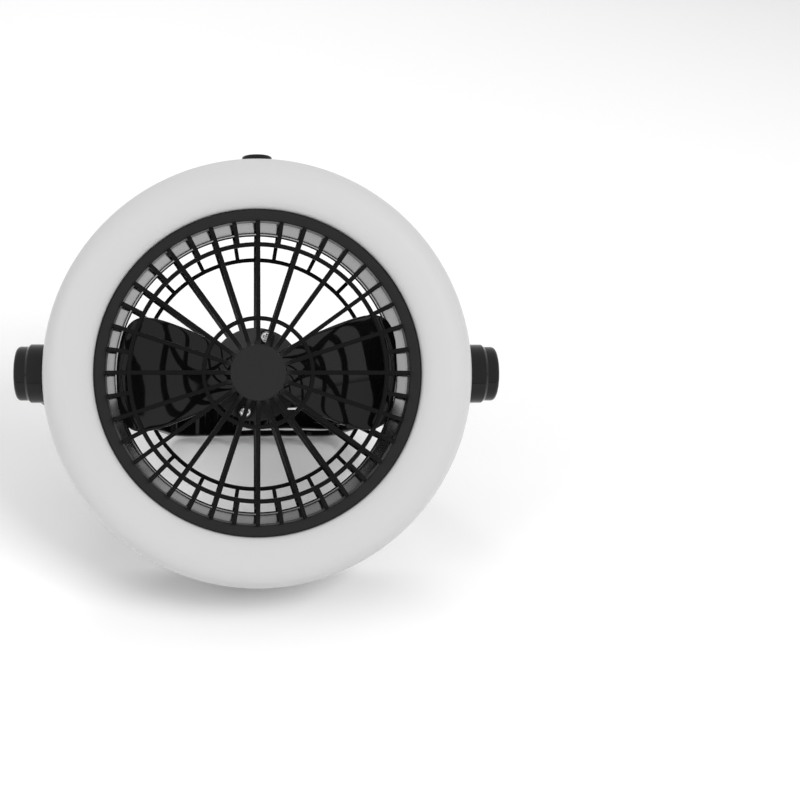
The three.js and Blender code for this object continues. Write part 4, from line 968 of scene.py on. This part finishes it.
# Button
def push_button():
    """The button: a short cylinder with a rounded rim and a shallow dish, on its retaining flange."""
    wall = HOUSING["radius"] - HOUSING["wall"]
    flange = BUTTON["flange_radius"]
    sag = wall - np.sqrt(wall ** 2 - flange ** 2)
    flange_top = wall - sag - GAP
    tip = HOUSING["radius"] + BUTTON["proud"]
    radius = BUTTON["radius"]
    low = flange_top - 0.0014
    stem, stem_low = 0.0025, BUTTON["well"] + 0.012
    dish = arc((0, tip + 0.024), 0.0245, 270, 284, 6)[::-1]
    profile = np.vstack([
        rounded([[0, stem_low], [stem, stem_low], [stem, low], [flange, low], [flange, flange_top],
                 [radius, flange_top], [radius, tip], [dish[0, 0], tip]],
                [0, 0, 0, 0, 0, 0, BUTTON["round"], 0], closed=False)[:-1],
        dish,
    ])
    return mesh_of("push_button", [revolve(profile, DISC)], FAN @ button_place())


# Pivots
def pivot_flange(name, way):
    """A fixed boss that grows out of the housing's wall.

    Its foot follows the wall: height = square root of (wall radius squared less y squared).
    """
    radius, reach, rounding = BOSS["radius"], BOSS["reach"], BOSS["round"]
    angle = np.radians(even_angles(DISC))[None, :]
    foot = np.sqrt(HOUSING["radius"] ** 2 - (radius * np.sin(angle)) ** 2) - OVERRUN
    edge = arc((radius - rounding, reach - rounding), rounding, 0, 90)
    profile = np.vstack([[0, foot.min()], [radius, 0], [radius, reach - rounding - HOLD], edge, [0, reach]])
    r, z = profile[:, :1], profile[:, 1:] + 0 * angle
    z[1] = foot
    points = np.stack([r * np.cos(angle), r * np.sin(angle), z], -1)
    return mesh_of(name, [grid(points, wrap_columns=True)], pivot_place(way))


def knob(name, way):
    """A stepped cap over the pivot, hollow from below, with a lip round the boss and a strap slot."""
    radius, step, reach = CAP["radius"], CAP["step_radius"], CAP["reach"]
    low = BOSS["reach"] + GAP
    shoulder = low + CAP["skirt"]
    edge, inner, foot = CAP["edge"], BOSS["radius"] + GAP, low - CAP["lip"]
    profile = rounded([
        [0, CAP["cavity_top"]], [CAP["cavity"], CAP["cavity_top"]], [CAP["cavity"], low], [inner, low],
        [inner, foot], [radius, foot], [radius, shoulder - CAP["slope"]], [step, shoulder],
        [step, reach], [0, reach],
    ], [0, 0, 0, 0, 0, edge / 2, edge, edge, CAP["round"], 0], closed=False)
    mesh = mesh_of(name, [revolve(profile, DISC)], Matrix())
    half = STRAP["width"] / 2 + GAP
    slot_top = STRAP["arm"] + STRAP["thick"] / 2 + GAP
    slot = prism(rectangle(0, radius + OVERRUN, -half, half), foot - OVERRUN, slot_top)
    mesh = cut(mesh, [[slot]], Matrix())
    mesh.transform(cap_place(way))
    return mesh


# Handle and hook
def strap_line(steps=420):
    """The strap's middle line from the right pivot to the left: a smooth arm, then a bar that waves as a
    cosine between its flat stretches."""
    arm = smooth_line(ARM_SHARES * [STRAP["arm"], STRAP["bar"]], 90)
    x = np.linspace(arm[-1, 0], 0, 90)[1:]
    along = np.minimum(x, WAVE["flat"]) - WAVE["crest"]
    bar = np.stack([x, STRAP["bar"] + WAVE["height"] * np.cos(along / WAVE["length"] * 2 * np.pi)], -1)
    half = np.vstack([arm, bar])
    line = np.vstack([half, half[-2::-1] * [-1, 1]])
    length = np.concatenate([[0], np.cumsum(np.linalg.norm(np.diff(line, axis=0), axis=1))])
    even = np.linspace(0, length[-1], steps)
    return np.stack([np.interp(even, length, line[:, 0]), np.interp(even, length, line[:, 1])], -1)


def strip(line, low, high, thick, rounding):
    """A flat strip along a line in the XY plane, from low to high across it."""
    path = np.column_stack([line, 0 * line[:, 0]])
    section = rounded(rectangle(low, high, -thick / 2, thick / 2), rounding, steps=4)
    return sweep(path, section)


def strap():
    """The handle: full width but for a window, past which only its two side rails run."""
    line = strap_line()
    thick, half = STRAP["thick"], STRAP["width"] / 2
    opening = WINDOW["width"] / 2
    above = line[:, 1] > STRAP["bar"] - WINDOW["sill"]
    in_window = above & (line[:, 0] < WINDOW["right"]) & (line[:, 0] > -WINDOW["left"])
    first, last = np.flatnonzero(in_window)[[0, -1]]
    shapes = [strip(line[:first + 1], -half, half, thick, STRAP["round"]),
              strip(line[last:], -half, half, thick, STRAP["round"])]
    for low, high in ((-half, -opening), (opening, half)):
        shapes.append(strip(line[first - 2:last + 3], low, high, thick, STRAP["round"]))
        hub = revolve(rounded([[0, low], [EYE["radius"], low], [EYE["radius"], high], [0, high]],
                              [0, STRAP["round"], STRAP["round"], 0], closed=False), PIN)
        shapes.append(moved(hub, Matrix.Translation((0, STRAP["bar"], 0))))
    reach, rounding = STRAP["eye"], STRAP["round"]
    eye = revolve(rounded([[0, -thick / 2], [reach, -thick / 2], [reach, thick / 2], [0, thick / 2]],
                          [0, rounding, rounding, 0], closed=False), DISC)
    for way in (-1, 1):
        place = Matrix.Translation((way * STRAP["arm"], 0, 0)) @ Matrix.Rotation(np.radians(90), 4, "Y")
        shapes.append(moved(eye, place))
    return mesh_of("strap", shapes, HANDLE)


def hook_line():
    """The hook's middle line: heel, waving neck, half circle and a straight tip."""
    neck = smooth_line(NECK_SHARES * [HOOK["bend_radius"], HOOK["bend_y"]], 70)
    bend = arc((HOOK["bend_x"], HOOK["bend_y"]), HOOK["bend_radius"], 180, 0, 40)
    line = np.vstack([[[0, -HOOK["heel"]]], neck, bend, [[HOOK["tip_x"], HOOK["tip_y"]]]])
    return smooth_line(line, 320)


def folding_hook():
    """The hook: a flat strip whose tip narrows to a round end, and the eye round its pin."""
    line = hook_line()
    path = np.column_stack([line, 0 * line[:, 0]])
    half, thick = HOOK["width"] / 2, HOOK["thick"]
    section = rounded(rectangle(-half, half, -thick / 2, thick / 2), HOOK["round"], steps=4)
    length = np.concatenate([[0], np.cumsum(np.linalg.norm(np.diff(line, axis=0), axis=1))])
    left = np.minimum(length, length[-1] - length) / (thick / 2)
    taper = np.sqrt(np.clip(1 - (1 - np.clip(left, 0, 1)) ** 2, 0.03, 1))
    sections = section[None] * np.stack([0.8 + 0.2 * taper, taper], -1)[:, None]
    eye = revolve(rounded([[0, -half], [HOOK["eye"], -half], [HOOK["eye"], half], [0, half]],
                          [0, HOOK["round"], HOOK["round"], 0], closed=False), PIN)
    return mesh_of("folding_hook", [sweep(path, sections), eye], HOOK_PLACE)


def hook_rivet():
    """The steel pin of the hook, with a domed head outside each rail."""
    face = STRAP["width"] / 2 + GAP
    end = face + EYE["head_height"]
    return mesh_of("hook_rivet", [revolve(rounded([
        [0, -end], [EYE["head_radius"], -end], [EYE["head_radius"], -face], [EYE["pin_radius"], -face],
        [EYE["pin_radius"], face], [EYE["head_radius"], face], [EYE["head_radius"], end], [0, end],
    ], [0, 0.0003, 0, 0, 0, 0, 0.0003, 0], closed=False), PIN)], HOOK_PLACE)


# Put every piece together
def placed(mesh, matrix):
    """A mesh moved by a matrix."""
    mesh.transform(matrix)
    return mesh


piece("rear_shell", placed(rear_shell(), FAN), SHELL_BLACK, "head", "gloss_black",
      "rear_housing", "air_duct")
piece("front_shell", placed(front_shell(), FAN), SHELL_BLACK, "head", "gloss_black", "front_housing")
piece("light_cover", light_cover(), MILKY_WHITE, "head", "milky_white", "light_diffuser")
piece("front_grille", front_grille(), GUARD_BLACK, "head", "satin_black", "front_guard", "front_cage")
piece("back_grille", back_grille(), GUARD_BLACK, "head", "satin_black", "rear_guard", "rear_cage")
piece("motor_body", motor_body(), ZINC, "head", "zinc_steel", "motor")
piece("motor_mount", motor_mount(), SATIN_BLACK, "head", "satin_black", "motor_bracket")
for number, angle in enumerate((BRACKET["angle"], BRACKET["angle"] + 180), 1):
    name = f"plate_screw_{number}"
    piece(name, plate_screw(name, angle), CHROME, "head", "chrome_steel", f"motor_screw_{number}")
piece("blade_rotor", blade_rotor(), GLOSS_BLACK, "rotor", "gloss_black", "fan_rotor")
for number, angle in enumerate(BAY_ANGLES, 1):
    piece(f"door_cover_{number}", door_cover(f"door_cover_{number}", angle), GLOSS_BLACK, f"door_{number}",
          "gloss_black", f"battery_door_{number}")
    for k in range(2):
        name = f"cell_{number}_{k + 1}"
        piece(name, cell_mesh(name, angle, k), CELL_SLEEVE, "head", "cell_sleeve", f"battery_{name}")
for number, angle in enumerate(SCREW_ANGLES, 1):
    piece(f"case_screw_{number}", case_screw(f"case_screw_{number}", angle), CHROME, "head", "chrome_steel",
          f"housing_screw_{number}")
piece("push_button", push_button(), GLOSS_BLACK, "button", "gloss_black", "power_button")
for side, way in (("right", 1), ("left", -1)):
    flange, cap = f"pivot_flange_{side}", f"knob_{side}"
    piece(flange, pivot_flange(flange, way), GLOSS_BLACK, "head", "gloss_black", f"pivot_boss_{side}")
    piece(cap, knob(cap, way), GLOSS_BLACK, "handle", "gloss_black", f"pivot_cap_{side}")
piece("strap", strap(), GLOSS_BLACK, "handle", "gloss_black", "handle")
piece("folding_hook", folding_hook(), GLOSS_BLACK, "hook", "gloss_black", "hook")
piece("hook_rivet", hook_rivet(), CHROME, "handle", "chrome_steel", "hook_pin")

# Inner solids that stay as they are, with their real finish
FINISHES = {
    "light_board": BOARD_WHITE, "switch_board": BOARD_GREEN, "push_switch": SATIN_BLACK, "motor_shaft": ZINC,
    "button_spring": SPRING_STEEL, "pivot_pin_right": ZINC, "pivot_pin_left": ZINC,
    "pivot_washer_right": ZINC, "pivot_washer_left": ZINC,
    **{f"battery_contact_{i}_{k}": SPRING_STEEL for i in (1, 2, 3) for k in (1, 2)},
}
for node, material in FINISHES.items():
    frame["nodes"][node].data.materials.clear()
    frame["nodes"][node].data.materials.append(material)


# Studio: pale floor, white backdrop, a soft sky and three soft lamps, each with its place, size and power
FLOOR = {"half": 6.0, "drop": 0.0005, "tone": 0.94, "roughness": 0.6, "lift": 0.07}
SKY_STRENGTH = 0.4
BACKDROP_STRENGTH = 1.0
LAMP_AIM = (0, 0, 0.1)
LAMPS = {
    "key": ((0.9, -0.8, 1.3), 0.8, 20),
    "fill": ((-1.2, -0.6, 0.9), 0.9, 10),
    "rim": ((-0.3, 1.3, 1.2), 0.7, 6.5),
}


def math_node(tree, operation, first, second):
    """A Math node on one socket and on a second socket or number."""
    node = tree.nodes.new("ShaderNodeMath")
    node.operation = operation
    tree.links.new(first, node.inputs[0])
    if isinstance(second, float):
        node.inputs[1].default_value = second
    else:
        tree.links.new(second, node.inputs[1])
    return node.outputs[0]


def seen_directly(tree):
    """The Light Path node, and a mask of camera rays and mirrored rays."""
    light = tree.nodes.new("ShaderNodeLightPath")
    camera, glossy = light.outputs["Is Camera Ray"], light.outputs["Is Glossy Ray"]
    return light, math_node(tree, "MAXIMUM", camera, glossy)


def studio_floor():
    """A wide pale floor that keeps the fan's shadow, a little lifted to the camera and in reflections."""
    half = FLOOR["half"]
    mesh = bpy.data.meshes.new("studio_floor")
    corners = [(-half, -half, 0), (half, -half, 0), (half, half, 0), (-half, half, 0)]
    mesh.from_pydata(corners, [], [(0, 1, 2, 3)])
    floor = bpy.data.objects.new("studio_floor", mesh)
    floor.location = (0, 0, -FLOOR["drop"])
    bpy.context.scene.collection.objects.link(floor)
    material, tree, principled = shader("studio_white", {
        "Base Color": (*grey(FLOOR["tone"]), 1), "Roughness": FLOOR["roughness"],
        "Emission Color": (1, 1, 1, 1),
    })
    seen = seen_directly(tree)[1]
    lift = math_node(tree, "MULTIPLY", seen, FLOOR["lift"])
    tree.links.new(lift, principled.inputs["Emission Strength"])
    mesh.materials.append(material)


def background(tree, strength):
    """A plain white Background shader."""
    node = tree.nodes.new("ShaderNodeBackground")
    node.inputs["Color"].default_value = (1, 1, 1, 1)
    node.inputs["Strength"].default_value = strength
    return node.outputs[0]


def studio_world():
    """A white backdrop to the camera, in mirrors and through clear pieces, and a softer sky as light."""
    world = bpy.data.worlds.new("studio_world")
    bpy.context.scene.world = world
    world.use_nodes = True
    tree = world.node_tree
    tree.nodes.clear()
    out = tree.nodes.new("ShaderNodeOutputWorld")
    light, seen = seen_directly(tree)
    seen = math_node(tree, "MAXIMUM", seen, light.outputs["Is Transmission Ray"])
    mix = tree.nodes.new("ShaderNodeMixShader")
    tree.links.new(seen, mix.inputs["Fac"])
    tree.links.new(background(tree, SKY_STRENGTH), mix.inputs[1])
    tree.links.new(background(tree, BACKDROP_STRENGTH), mix.inputs[2])
    tree.links.new(mix.outputs[0], out.inputs["Surface"])


def soft_lamp(name, place, size, power):
    """A square area lamp that points at the fan and isn't mirrored in it."""
    lamp = bpy.data.lights.new(name, "AREA")
    lamp.shape = "SQUARE"
    lamp.size = size
    lamp.energy = power
    holder = bpy.data.objects.new(name, lamp)
    holder.visible_glossy = False
    holder.location = place
    aim = Vector(LAMP_AIM) - Vector(place)
    holder.rotation_mode = "QUATERNION"
    holder.rotation_quaternion = aim.to_track_quat("-Z", "Y")
    bpy.context.scene.collection.objects.link(holder)


studio_floor()
studio_world()
for name, (place, size, power) in LAMPS.items():
    soft_lamp(name, place, size, power)

view = bpy.context.scene.view_settings
view.view_transform = "Standard"
